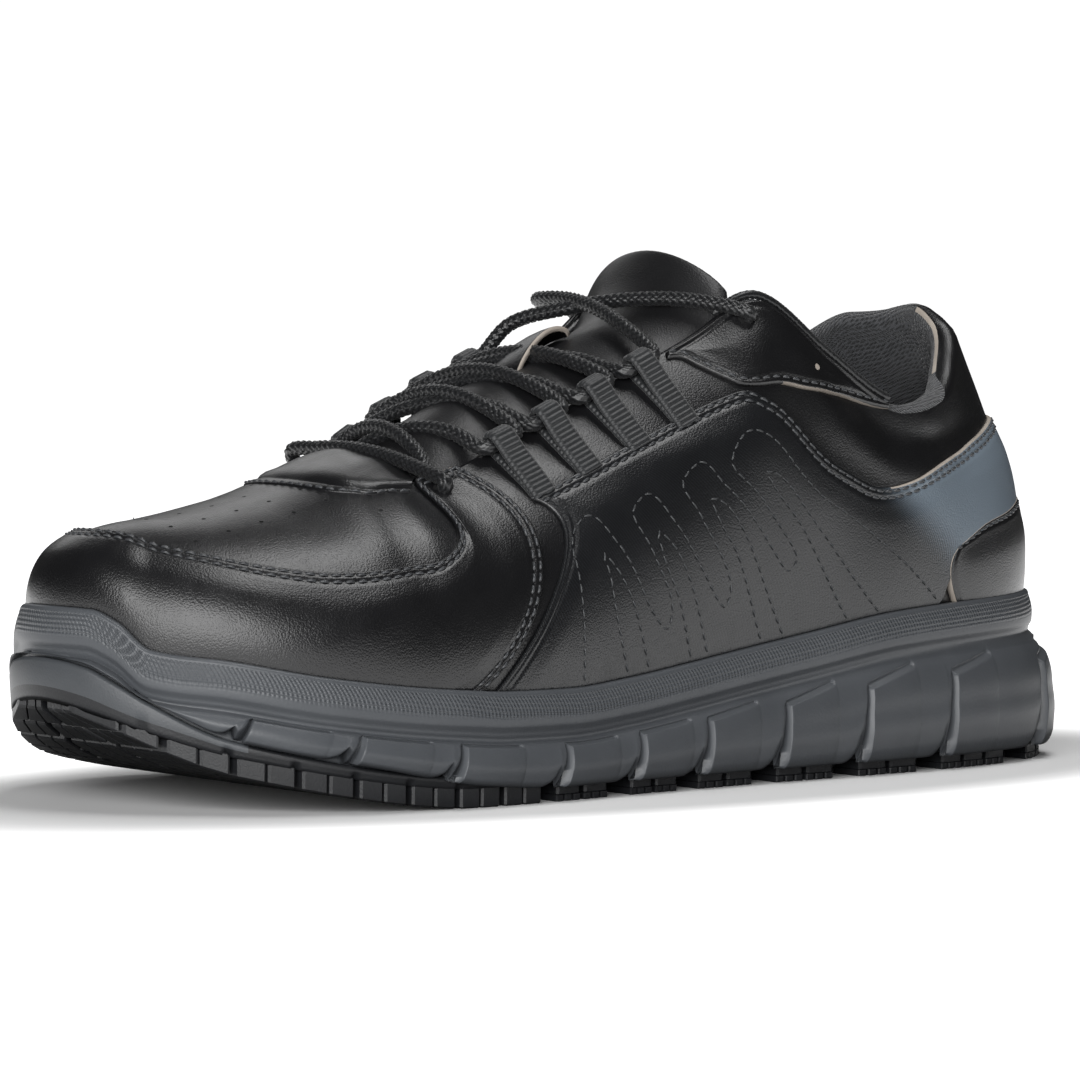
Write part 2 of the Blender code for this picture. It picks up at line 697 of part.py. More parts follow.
# Free top of the tongue above the eyestays: its middle and its edge.
TONGUE_TOP = (
    TongueTop(119.5, 116.5, 116.0, 22.5, 107.0, TONGUE_THICK + 1.0),
    TongueTop(115.5, 122.5, 111.5, 21.5, 113.0, TONGUE_THICK + 1.0),
    TongueTop(113.0, 126.0, 109.0, 19.5, 117.5, 3.0),
)


def u_at_top(x, side):
    """Distance round the outline whose throat edge or ridge lies at the length x."""
    start = KNOTS[5]
    spans = np.linspace(start, TOE, 400) if side > 0 else np.linspace(ROUND - start, TOE, 400)
    return float(np.interp(x, [at(u)[0][TOP_X] for u in spans], spans))


def tongue_edge(x, t, side):
    """Point just inside the upper near the throat edge, and the direction of the upper there."""
    u = u_at_top(x, side)
    depth = -(wall_thickness(u, t) + FIT_GAP + 0.25)
    point = skin_point(u, t, depth)
    ahead = skin_point(u, min(1.0, t + 0.05), depth) - point
    return point, ahead / np.linalg.norm(ahead)


def arch(first, first_way, last, last_way, middle_z, count):
    """Cubic arch between two edges that passes the given height half way."""
    base = (first[2] + last[2]) / 2
    lift = (first_way[2] + last_way[2]) / 2
    handle = (middle_z - base) / (0.75 * lift)
    points = []
    for q in np.linspace(0.0, 1.0, count + 1):
        s = 1 - q
        points.append(
            s**3 * first
            + 3 * s * s * q * (first + first_way * handle)
            + 3 * s * q * q * (last + last_way * handle)
            + q**3 * last
        )
    return points


def tongue_lines(count):
    """Lines across the outside of the tongue from its front to its top."""
    lines = []
    for row in TONGUE:
        lateral = tongue_edge(row.x, row.edge_t, 1)
        medial = tongue_edge(row.x, row.edge_t, -1)
        lines.append(arch(*lateral, *medial, row.crown_z, count))
    for row in TONGUE_TOP:
        middle = np.array([row.x, 0.0, row.z])
        line = []
        for q in np.linspace(1.0, -1.0, count + 1):
            edge = np.array([row.edge_x, 0.0, row.edge_z])
            point = middle + (edge - middle) * q * q
            point[1] = row.edge_y * q
            line.append(point)
        lines.append(line)
    return lines


def grid_normals(grid):
    """Unit normals of a grid of points, from the slopes to its neighbours."""
    grid = np.array(grid)
    along = np.gradient(grid, axis=0)
    over = np.gradient(grid, axis=1)
    normals = np.cross(along, over)
    return normals / np.linalg.norm(normals, axis=2, keepdims=True)


def build_tongue(finish, count=10):
    outer = np.array(tongue_lines(count))
    normals = grid_normals(outer)
    if normals[len(outer) // 2, count // 2, 2] < 0:
        normals = -normals
    thick = np.array([row.thick for row in TONGUE + TONGUE_TOP])
    taper = 1 - 0.65 * np.abs(np.linspace(-1.0, 1.0, count + 1)) ** 3
    inner = outer - normals * (thick[:, None] * taper)[:, :, None]
    return sheet("tongue", finish, inner, outer)


# Webbing loops along the throat

LoopFrame = namedtuple("LoopFrame", "u along over up edge side")

BIGHT_IN = 2.2          # how far the bight reaches over the throat edge
BIGHT_UP = 4.8
BIGHT_RADIUS = 3.7      # to the middle of the webbing
LOOP_FOOT = 0.765       # share of the wall height where a loop is sewn in
LEG_LOW = 1.05          # heights of a loop's two legs above the leather
LEG_HIGH = 2.35
LEG_LIFT = 0.7          # further height of the upper leg beside the bight


def loop_frame(x, side):
    """Axes at the throat edge: along it to the toe, over it to the middle, and up from the leather."""
    u = u_at_top(x, side)
    edge = wall_point(u, 1.0)
    along = (wall_point(u + side, 1.0) - wall_point(u - side, 1.0))
    along /= np.linalg.norm(along)
    over = edge - wall_point(u, 0.96)
    over -= along * over.dot(along)
    over /= np.linalg.norm(over)
    up = np.cross(over, along) * side
    return LoopFrame(u, along, over, up, edge, side)


def square_to_edge(frame, t, height):
    """Point on the upper that lies straight down from the throat edge, square to it."""
    u = frame.u
    for _ in range(4):
        u -= (wall_point(u, t) - frame.edge).dot(frame.along) * frame.side
    return skin_point(u, t, height)


def loop_path(frame, shift):
    """Middle line of the webbing, one edge of it shifted along the throat."""
    foot_low = [square_to_edge(frame, t, LEG_LOW) for t in (LOOP_FOOT, 0.88)]
    foot_high = [square_to_edge(frame, t, LEG_HIGH + h) for t, h in ((0.9, LEG_LIFT), (LOOP_FOOT, 0.0))]
    bight = []
    for angle in np.radians((-105, -60, -15, 30, 75, 120)):
        reach = BIGHT_IN + BIGHT_RADIUS * cos(angle)
        height = BIGHT_UP + BIGHT_RADIUS * sin(angle)
        bight.append(frame.edge + frame.over * reach + frame.up * height)
    return [p + frame.along * shift for p in foot_low + bight + foot_high]


def build_loop(name, finish, x, side):
    frame = loop_frame(x, side)
    near = np.array(loop_path(frame, LOOP_WIDTH / 2))
    far = np.array(loop_path(frame, -LOOP_WIDTH / 2))
    ways = np.gradient(near, axis=0)
    faces = np.cross(ways, frame.along)
    faces *= WEBBING / 2 / np.linalg.norm(faces, axis=1, keepdims=True)
    inner = [[a - f, b - f] for a, b, f in zip(near, far, faces)]
    outer = [[a + f, b + f] for a, b, f in zip(near, far, faces)]
    return sheet(name, finish, inner, outer)


# Lace

LACE_SIDES = 6
BIGHT_RUN = 6.2         # half the straight run of the lace through a bight
CROSSING_STEPS = 8


def bight_ends(x, side):
    """Points where the lace enters a bight on the toe side and leaves it on the heel side."""
    frame = loop_frame(x, side)
    middle = frame.edge + frame.over * BIGHT_IN + frame.up * BIGHT_UP
    return middle + frame.along * BIGHT_RUN, middle - frame.along * BIGHT_RUN


def eyelet_point(x, t, side, height):
    return skin_point(u_at(x, side), t, height)


def crossing(first, last, middle_z, count):
    """Arc of the lace over the tongue, ends included, that passes the given height half way."""
    control = (first + last) / 2
    control[2] = 2 * middle_z - control[2]
    points = []
    for q in np.linspace(0.0, 1.0, count + 1):
        points.append((1 - q) ** 2 * first + 2 * q * (1 - q) * control + q * q * last)
    return points


def crown_height(x):
    """Height of the tongue's crown at the length x."""
    rows = [(row.x, row.crown_z) for row in TONGUE] + [(row.x, row.z) for row in TONGUE_TOP]
    rows.sort()
    return float(np.interp(x, [r[0] for r in rows], [r[1] for r in rows]))


def lace_strand(first_side, lift):
    """One strand from the bottom of the throat to a top eyelet, crossing at every loop."""
    side = first_side
    radius = LACE_DIAMETER / 2
    x, y = 199.0, 11.0
    path = [np.array([x, y * side, crown_height(x) + radius + 0.2])]
    for station in LOOP_STATIONS:
        side = -side
        enter, leave = bight_ends(station, side)
        middle_x = (path[-1][0] + enter[0]) / 2
        middle_z = crown_height(middle_x) + radius + 0.5 + lift
        path += crossing(path[-1], enter, middle_z, CROSSING_STEPS)[1:]
        path.append(leave)
        lift = LACE_DIAMETER * 0.9 - lift
    side = -side
    top = eyelet_point(TOP_EYELET.x, TOP_EYELET.t, side, OVERLAY_GAP + OVERLAY_WALL + radius + 2.0)
    middle_z = crown_height((path[-1][0] + top[0]) / 2) + radius + 0.5 + lift
    path += crossing(path[-1], top, middle_z, CROSSING_STEPS)[1:]
    return path


Eyelet = namedtuple("Eyelet", "x t")
TOP_EYELET = Eyelet(126.0, 0.94)
LOW_EYELET = Eyelet(197.0, 0.90)


def bottom_bar():
    height = OVERLAY_GAP + OVERLAY_WALL + LACE_DIAMETER / 2 + 0.3
    first = eyelet_point(LOW_EYELET.x, LOW_EYELET.t, 1, height)
    last = eyelet_point(LOW_EYELET.x, LOW_EYELET.t, -1, height)
    middle = (first + last) / 2
    bar = crossing(first, last, crown_height(middle[0]) + LACE_DIAMETER * 1.6, CROSSING_STEPS + 2)
    return bar


def add_tube(bm, path, radius):
    """Closed tube along a path, its rings turned as little as possible from one to the next."""
    path = np.array(path)
    ways = np.gradient(path, axis=0)
    ways /= np.linalg.norm(ways, axis=1, keepdims=True)
    side = np.cross(ways[0], UP)
    rings = []
    for point, way in zip(path, ways):
        side = side - way * side.dot(way)
        side /= np.linalg.norm(side)
        other = np.cross(way, side)
        turns = [2 * pi * i / LACE_SIDES for i in range(LACE_SIDES)]
        rings.append(add_ring(bm, [point + (side * cos(a) + other * sin(a)) * radius for a in turns]))
    for first, second in zip(rings, rings[1:]):
        bridge(bm, first, second)
    bm.faces.new(rings[0][::-1])
    bm.faces.new(rings[-1])


def build_lace(finish):
    parts = []
    for path in (lace_strand(1, 0.0), lace_strand(-1, LACE_DIAMETER * 0.9), bottom_bar()):
        bm = bmesh.new()
        add_tube(bm, path, LACE_DIAMETER / 2)
        parts.append(new_object("lace", finish, bm))
    for other in parts[1:]:
        join(parts[0], other)
    return parts[0]


def clear_scene():
    for obj in list(bpy.data.objects):
        bpy.data.objects.remove(obj)


def sole_centre():
    """Middle of the sole's outline, which becomes the origin."""
    points = [offset_point(u, at(u)[0][POD], 0.0) for u in np.linspace(0.0, ROUND, 800)]
    lengths = [p[0] for p in points]
    widths = [p[1] for p in points]
    return (min(lengths) + max(lengths)) / 2, (min(widths) + max(widths)) / 2


ORIGIN = sole_centre()


def main():
    clear_scene()
    leather = material("black_leather", (0.012, 0.012, 0.013), 0.42)
    foam = material("grey_midsole", (0.055, 0.058, 0.062), 0.6)
    rubber = material("black_rubber", (0.02, 0.02, 0.021), 0.65)
    lining = material("charcoal_mesh", (0.03, 0.03, 0.03), 0.9)
    webbing = material("black_webbing", (0.02, 0.02, 0.021), 0.85)
    build_midsole(foam)
    build_outsole(rubber)
    build_upper(leather)
    build_insole(lining)
    build_tongue(leather)
    build_overlay("mudguard", leather, MUDGUARD, (1, -1), 44, 6)
    build_overlay("heel_counter", leather, COUNTER, (1, -1), 20, 3)
    for name, side in (("lateral", 1), ("medial", -1)):
        build_overlay("quarter_" + name, leather, QUARTER, (side,), 22, 4)
        build_overlay("collar_overlay_" + name, leather, COLLAR, (side,), 12, 3)
        for i, x in enumerate(LOOP_STATIONS):
            build_loop("loop_%s_%d" % (name, i + 1), webbing, x, side)
    build_lace(webbing)


main()
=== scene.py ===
"""Looks of a low black lace-up work shoe for the left foot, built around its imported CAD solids.

Sizes are in millimetres until a mesh is made, and the toe points along +X, the outer side along +Y.
"""

import json
import logging
from dataclasses import dataclass, field
from enum import Enum, IntEnum
from math import cos, pi, radians, sin
from typing import Callable, Sequence

import bpy
import numpy as np
from bpy.types import Material, Node, NodeSocket, NodeTree, Object
from mathutils import Matrix

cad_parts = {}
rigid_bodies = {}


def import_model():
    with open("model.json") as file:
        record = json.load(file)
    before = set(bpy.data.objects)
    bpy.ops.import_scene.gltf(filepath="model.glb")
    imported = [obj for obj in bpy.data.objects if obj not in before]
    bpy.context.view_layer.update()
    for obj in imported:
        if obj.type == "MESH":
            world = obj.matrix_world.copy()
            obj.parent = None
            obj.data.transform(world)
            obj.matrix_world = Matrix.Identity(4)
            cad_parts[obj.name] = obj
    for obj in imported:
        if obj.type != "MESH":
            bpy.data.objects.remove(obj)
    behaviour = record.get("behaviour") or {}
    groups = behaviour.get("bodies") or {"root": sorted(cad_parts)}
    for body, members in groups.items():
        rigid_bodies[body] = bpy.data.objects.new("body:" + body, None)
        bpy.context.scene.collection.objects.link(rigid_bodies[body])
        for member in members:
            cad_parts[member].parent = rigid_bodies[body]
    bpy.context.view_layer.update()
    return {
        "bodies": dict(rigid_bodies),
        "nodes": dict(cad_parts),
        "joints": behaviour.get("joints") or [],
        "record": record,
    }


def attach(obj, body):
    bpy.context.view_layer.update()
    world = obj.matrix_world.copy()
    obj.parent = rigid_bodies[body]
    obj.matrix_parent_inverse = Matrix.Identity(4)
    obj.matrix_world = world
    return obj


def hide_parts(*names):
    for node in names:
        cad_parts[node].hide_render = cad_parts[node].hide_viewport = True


Array = np.ndarray
LOG = logging.getLogger("shoe")
MM = 0.001
UP = np.array([0.0, 0.0, 1.0])
ORIGIN = np.array([141.998, 2.0035, 0.0])  # middle of the sole, which is the frame's origin
WELD = 0.02  # points closer than this are one, in millimetres
PLAN = np.array([1.0, 60.0])  # makes places (u, t) on the upper roughly millimetres both ways


class Side(IntEnum):
    """Sides of the shoe, as the sign of Y."""

    LATERAL = 1
    MEDIAL = -1


SIDES = ((Side.LATERAL, "lateral"), (Side.MEDIAL, "medial"))


class Col(IntEnum):
    """Columns of the last's table, taken round the shoe."""

    X = 0
    Y = 1
    FLOOR = 2
    RIM = 3
    TOP_X = 4
    TOP_Y = 5
    TOP_Z = 6
    LEAN = 7
    TILT = 8
    WALL = 9
    CROWN = 10
    POD = 11
    WRAP = 12
    PAD = 13


@dataclass(frozen=True)
class Station:
    """One section of the last, in millimetres and degrees.

    x, lateral, medial: outline where the upper meets the sole; floor, rim: heights of the cup;
    top: edge of collar and throat, and past the throat the ridge of the vamp; lean, tilt, wall, crown:
    angles and fullness of the wall at the rim and at the top; pod: overhang of the midsole;
    wrap: how far the rubber climbs; pad: share of collar padding.
    """

    x: float
    lateral: float
    medial: float
    floor: float
    rim: float
    top_x: float
    top_lateral: float
    top_medial: float
    top_z_lateral: float
    top_z_medial: float
    lean: float
    tilt: float
    wall: float
    crown: float
    pod: float
    wrap: float
    pad: float

    def row(self, side: Side) -> list[float]:
        """Columns of this section on one side."""
        lateral = side == Side.LATERAL
        y = self.lateral if lateral else -self.medial
        top_y = self.top_lateral if lateral else -self.top_medial
        top_z = self.top_z_lateral if lateral else self.top_z_medial
        return [
            self.x, y, self.floor, self.rim, self.top_x, top_y, top_z, radians(self.lean),
            radians(self.tilt), self.wall, self.crown, self.pod, self.wrap, self.pad,
        ]


STATIONS = (
    #       x     lat   med   floor rim   top_x t_lat t_med z_lat  z_med  lean tilt wall crown pod wrap pad
    Station(2.5, 0.0, 0.0, 33.0, 42.0, 19.8, 0.0, 0.0, 110.8, 110.8, 3, 68, 0.42, 0.44, 10.0, 0.0, 1.0),
    Station(6.5, 17.0, 17.0, 33.0, 42.0, 23.0, 10.5, 10.0, 108.8, 112.0, 4, 70, 0.42, 0.44, 10.0, 0.0, 1.0),
    Station(20.5, 28.5, 28.0, 33.0, 41.5, 31.0, 19.5, 18.0, 101.5, 112.0, 5, 74, 0.42, 0.44, 9.5, 0.0, 1.0),
    Station(42.0, 35.0, 33.5, 32.5, 40.7, 42.0, 28.0, 26.0, 93.0, 106.0, 5, 78, 0.42, 0.40, 8.8, 0.0, 1.0),
    Station(70.0, 39.0, 34.5, 31.0, 39.0, 62.0, 34.5, 31.0, 89.5, 96.0, 5, 78, 0.42, 0.40, 8.0, 0.0, 0.9),
    Station(100.0, 41.0, 33.5, 27.5, 35.0, 88.0, 34.5, 31.0, 102.0, 101.5, 5, 70, 0.42, 0.42, 7.2, 0.0, 0.6),
    Station(122.0, 42.5, 34.5, 24.5, 32.0, 107.0, 29.0, 27.0, 115.0, 114.5, 5, 58, 0.44, 0.42, 6.8, 0.0, 0.3),
    Station(140.0, 44.0, 37.0, 22.3, 29.5, 124.0, 25.0, 24.0, 105.5, 105.0, 5, 46, 0.46, 0.42, 6.6, 0.0, 0.1),
    Station(160.0, 46.0, 40.0, 20.0, 27.0, 150.0, 24.0, 23.0, 93.5, 93.6, 5, 44, 0.48, 0.42, 6.5, 0.0, 0.0),
    Station(180.0, 48.5, 43.5, 18.5, 25.5, 180.0, 22.5, 22.0, 80.0, 81.4, 6, 40, 0.52, 0.44, 6.4, 0.0, 0.0),
    Station(200.0, 50.5, 46.0, 18.0, 25.7, 201.0, 19.5, 19.5, 72.0, 72.0, 7, 28, 0.55, 0.48, 6.2, 0.0, 0.0),
    Station(212.0, 50.7, 46.8, 18.2, 26.5, 210.0, 11.5, 11.5, 73.0, 73.0, 8, 12, 0.56, 0.52, 6.0, 0.0, 0.0),
    Station(224.0, 49.8, 46.8, 19.0, 27.5, 213.5, -1.5, 1.5, 74.2, 74.2, 8, 0, 0.57, 0.54, 5.8, 0.0, 0.0),
    Station(246.0, 45.0, 44.0, 21.5, 30.3, 232.0, -1.5, 1.5, 68.8, 68.8, 8, 0, 0.58, 0.57, 5.3, 0.2, 0.0),
    Station(264.5, 35.2, 35.0, 24.5, 34.0, 250.0, -1.5, 1.5, 65.0, 65.0, 8, 0, 0.60, 0.60, 5.0, 0.8, 0.0),
    Station(276.5, 23.7, 23.0, 26.5, 36.2, 259.0, -1.5, 1.5, 63.8, 63.8, 6, 0, 0.62, 0.62, 5.2, 3.9, 0.0),
    Station(280.6, 17.5, 17.3, 27.4, 42.0, 260.9, -1.5, 1.5, 63.6, 63.6, 5, 0, 0.63, 0.63, 5.3, 5.8, 0.0),
    Station(283.5, 11.5, 11.7, 28.0, 44.7, 262.0, -1.5, 1.5, 63.5, 63.5, 4, 0, 0.63, 0.63, 5.4, 7.0, 0.0),
    Station(286.0, 0.0, 0.0, 28.5, 45.0, 263.0, -1.5, 1.5, 63.4, 63.4, 3, 0, 0.63, 0.63, 5.5, 6.8, 0.0),
)


@dataclass(frozen=True)
class Crease:
    """A soft trough (negative) or ridge in the leather.

    x, t: its middle as station and share of the wall height; length, width: its half sizes in
    millimetres of length and in shares of the height; turn: how much x changes per share of height.
    """

    side: Side
    x: float
    t: float
    length: float
    width: float
    turn: float
    height: float


CREASES = (
    Crease(Side.LATERAL, 60.0, 0.82, 26.0, 0.050, 40.0, -0.9),
    Crease(Side.LATERAL, 82.0, 0.72, 20.0, 0.055, 30.0, 0.8),
    Crease(Side.LATERAL, 34.0, 0.80, 12.0, 0.070, 20.0, -0.7),
    Crease(Side.LATERAL, 24.0, 0.47, 16.0, 0.060, 10.0, -0.5),
    Crease(Side.LATERAL, 112.0, 0.66, 14.0, 0.045, 60.0, -0.6),
    Crease(Side.LATERAL, 150.0, 0.64, 22.0, 0.050, 20.0, 0.5),
    Crease(Side.LATERAL, 208.0, 0.34, 12.0, 0.080, -30.0, -0.6),
    Crease(Side.LATERAL, 228.0, 0.24, 16.0, 0.060, -20.0, 0.6),
    Crease(Side.LATERAL, 236.0, 0.62, 6.0, 0.080, 25.0, -0.5),
    Crease(Side.MEDIAL, 64.0, 0.78, 24.0, 0.055, 40.0, -0.8),
    Crease(Side.MEDIAL, 96.0, 0.70, 20.0, 0.050, 30.0, 0.7),
    Crease(Side.MEDIAL, 30.0, 0.80, 12.0, 0.070, 20.0, -0.6),
    Crease(Side.MEDIAL, 150.0, 0.62, 22.0, 0.050, 20.0, 0.5),
    Crease(Side.MEDIAL, 210.0, 0.34, 14.0, 0.080, -30.0, -0.6),
    Crease(Side.MEDIAL, 230.0, 0.22, 16.0, 0.060, -20.0, 0.6),
    Crease(Side.MEDIAL, 234.0, 0.66, 6.0, 0.080, 25.0, -0.4),
)


class Last:
    """The form that the shoe is made over, as smooth functions of a distance u round its outline."""

    def __init__(self, stations: Sequence[Station], creases: Sequence[Crease]) -> None:
        """Prepares the splines.

        Args:
            stations: sections from heel to toe.
            creases: soft folds of the leather.
        """
        self.creases = creases
        lateral = [s.row(Side.LATERAL) for s in stations]
        medial = [s.row(Side.MEDIAL) for s in stations[-2:0:-1]]
        self.table = np.array(lateral + medial)
        outline = self.table[:, (Col.X, Col.Y)]
        steps = np.hypot(*(np.roll(outline, -1, axis=0) - outline).T)
        steps = (steps + steps[::-1]) / 2
        self.knots = np.concatenate([[0.0], np.cumsum(steps)])
        self.round = float(self.knots[-1])
        self.toe = float(self.knots[len(stations) - 1])
        self.slopes = self._slopes(steps)
        spread = np.linspace(0.0, self.toe, 1600)
        self.spread = spread
        self.side_x = {
            Side.LATERAL: self.rows(spread)[0][:, Col.X],
            Side.MEDIAL: self.rows(self.round - spread)[0][:, Col.X],
        }
        tops = np.linspace(float(self.knots[4]), self.toe, 1600)
        self.tops = tops
        self.top_x = {
            Side.LATERAL: self.rows(tops)[0][:, Col.TOP_X],
            Side.MEDIAL: self.rows(self.round - tops)[0][:, Col.TOP_X],
        }

    def _slopes(self, steps: Array) -> Array:
        """Slopes at the stations: a smooth spline for the outline, shape-keeping ones for the rest.

        Args:
            steps: distances between the stations.

        Returns:
            One row of slopes per station.
        """
        secants = (np.roll(self.table, -1, axis=0) - self.table) / steps[:, None]
        before, after = np.roll(secants, 1, axis=0), secants
        near = (2 * steps + np.roll(steps, 1))[:, None]
        far = (steps + 2 * np.roll(steps, 1))[:, None]
        level = before * after <= 0
        safe_before = np.where(level, 1.0, before)
        safe_after = np.where(level, 1.0, after)
        slopes = np.where(level, 0.0, (near + far) / (near / safe_before + far / safe_after))
        count = len(steps)
        system = np.zeros((count, count))
        right = np.zeros((count, 2))
        for i in range(count):
            back, ahead = steps[i - 1], steps[i]
            system[i, i - 1] += ahead
            system[i, i] += 2 * (back + ahead)
            system[i, (i + 1) % count] += back
            right[i] = 3 * (ahead * secants[i - 1, :2] + back * secants[i, :2])
        slopes[:, (Col.X, Col.Y)] = np.linalg.solve(system, right)
        return slopes

    def rows(self, u: Array) -> tuple[Array, Array]:
        """All columns at the distances u, and their rates of change."""
        u = np.asarray(u, dtype=float) % self.round
        i = np.clip(np.searchsorted(self.knots, u, side="right") - 1, 0, len(self.table) - 1)
        j = (i + 1) % len(self.table)
        step = (self.knots[i + 1] - self.knots[i])[..., None]
        q = (u - self.knots[i])[..., None] / step
        values = (
            (1 + 2 * q) * (1 - q) ** 2 * self.table[i]
            + q * (1 - q) ** 2 * step * self.slopes[i]
            + q * q * (3 - 2 * q) * self.table[j]
            + q * q * (q - 1) * step * self.slopes[j]
        )
        rates = (
            6 * q * (q - 1) / step * (self.table[i] - self.table[j])
            + (1 - q) * (1 - 3 * q) * self.slopes[i]
            + q * (3 * q - 2) * self.slopes[j]
        )
        return values, rates

    @staticmethod
    def outward(rates: Array) -> Array:
        """Level unit vectors that point out of the outline."""
        way = np.stack([-rates[..., Col.Y], rates[..., Col.X], np.zeros(rates.shape[:-1])], axis=-1)
        return way / np.linalg.norm(way, axis=-1, keepdims=True)

    def round_at(self, x: Array, side: Side) -> Array:
        """Distances where one side of the outline passes the lengths x."""
        u = np.interp(x, self.side_x[side], self.spread)
        return u if side == Side.LATERAL else self.round - u

    def round_at_top(self, x: Array, side: Side) -> Array:
        """Distances whose throat edge or vamp ridge lies at the lengths x."""
        u = np.interp(x, self.top_x[side], self.tops)
        return u if side == Side.LATERAL else self.round - u

    def wall(self, u: Array, t: Array) -> Array:
        """Points on the outside of the upper: t is 0 at the rim and 1 at the top edge."""
        u, t = np.broadcast_arrays(np.asarray(u, dtype=float), np.asarray(t, dtype=float))
        row, rates = self.rows(u)
        out = self.outward(rates)
        foot = row[..., [Col.X, Col.Y, Col.RIM]]
        top = row[..., [Col.TOP_X, Col.TOP_Y, Col.TOP_Z]]
        tilt, lean = row[..., Col.TILT, None], row[..., Col.LEAN, None]
        rise = (top - foot)[..., 2:3]
        level = (foot - top) * (1.0 - UP)
        reach = np.linalg.norm(level, axis=-1, keepdims=True)
        along = np.where(tilt < radians(1.0), level / np.maximum(reach, 1e-6), out)
        ridge = np.interp(row[..., Col.TOP_X], (200.0, 222.0, 250.0, 266.0), (0.0, 0.27, 0.12, 0.08))
        fall = ridge[..., None] * along[..., 0:1] * np.cos(tilt)
        crown = along * np.cos(tilt) - UP * (np.sin(tilt) + fall)
        low = foot + (UP * np.cos(lean) + out * np.sin(lean)) * rise * row[..., Col.WALL, None]
        full = row[..., Col.CROWN, None] * (reach * np.cos(tilt) + rise * np.sin(tilt))
        high = top + crown * full
        t = t[..., None]
        s = 1 - t
        return s**3 * foot + 3 * s * s * t * low + 3 * s * t * t * high + t**3 * top

    def normal(self, u: Array, t: Array) -> Array:
        """Outward unit normals of the upper."""
        step_u, step_t = 0.4, 0.004
        t = np.asarray(t, dtype=float)
        above = np.minimum(t + step_t, 1.0)
        du = self.wall(u + step_u, t) - self.wall(u - step_u, t)
        dt = self.wall(u, above) - self.wall(u, above - 2 * step_t)
        normal = np.cross(dt, du)
        return normal / np.linalg.norm(normal, axis=-1, keepdims=True)

    def folds(self, u: Array, t: Array) -> Array:
        """Heights of the soft creases in the leather."""
        u, t = np.broadcast_arrays(np.asarray(u, dtype=float) % self.round, np.asarray(t, dtype=float))
        x = self.rows(u)[0][..., Col.X]
        side = np.where(u <= self.toe, 1, -1)
        height = np.zeros(u.shape)
        for crease in self.creases:
            across = (t - crease.t - (x - crease.x) / (crease.turn * 10.0)) / crease.width
            along = (x - crease.x) / crease.length
            bump = np.exp(-0.5 * across**2 - 0.5 * along**2)
            height += crease.height * bump * (side == crease.side)
        return height

    def skin(self, u: Array, t: Array, height: Array | float) -> Array:
        """Points at the given height above the creased leather of the upper."""
        u, t = np.broadcast_arrays(np.asarray(u, dtype=float), np.asarray(t, dtype=float))
        lift = np.asarray(height) + self.folds(u, t)
        return self.wall(u, t) + self.normal(u, t) * lift[..., None]

    def thickness(self, u: Array, t: Array) -> Array:
        """Thickness of the upper, which swells to the padding towards the collar edge."""
        pad = self.rows(u)[0][..., Col.PAD]
        share = np.clip((np.asarray(t) - 0.5) / 0.35, 0.0, 1.0) * pad
        return 2.2 + 4.8 * share

    def above(self, spots: Array) -> Array:
        """Places (u, t) on the vamp over the level points (x, y)."""
        u, t = np.meshgrid(np.linspace(self.toe - 150.0, self.toe + 150.0, 500), np.linspace(0.3, 1.0, 140))
        points = self.wall(u, t)[..., :2].reshape(-1, 2)
        found = [((points - spot) ** 2).sum(axis=1).argmin() for spot in spots]
        u, t = u.ravel()[found], t.ravel()[found]
        for _ in range(4):
            miss = spots - self.wall(u, t)[:, :2]
            by_u = self.wall(u + 0.5, t)[:, :2] - self.wall(u - 0.5, t)[:, :2]
            by_t = (self.wall(u, t + 0.005)[:, :2] - self.wall(u, t - 0.005)[:, :2]) * 100
            area = by_u[:, 0] * by_t[:, 1] - by_u[:, 1] * by_t[:, 0]
            area = np.where(np.abs(area) < 1e-6, 1e-6, area)
            u = u + np.clip((miss[:, 0] * by_t[:, 1] - miss[:, 1] * by_t[:, 0]) / area, -0.6, 0.6)
            climb = (by_u[:, 0] * miss[:, 1] - by_u[:, 1] * miss[:, 0]) / area
            t = np.clip(t + np.clip(climb, -0.01, 0.01), 0, 1)
        return np.stack([u, t], axis=1)

    def offset(self, u: Array, out: Array | float, z: Array) -> Array:
        """Points a level distance outside the outline, at the heights z."""
        row, rates = self.rows(u)
        points = row[..., [Col.X, Col.Y, Col.FLOOR]] + self.outward(rates) * np.asarray(out)[..., None]
        points[..., 2] = z
        return points


LAST = Last(STATIONS, CREASES)


def to_frame(points: Array) -> Array:
    """Millimetres on the last as metres in the shared frame."""
    return (np.asarray(points, dtype=float) - ORIGIN) * MM


def smooth(value: Array, low: float, high: float) -> Array:
    """Smooth step from 0 at low to 1 at high."""
    q = np.clip((np.asarray(value, dtype=float) - low) / (high - low), 0.0, 1.0)
    return q * q * (3 - 2 * q)


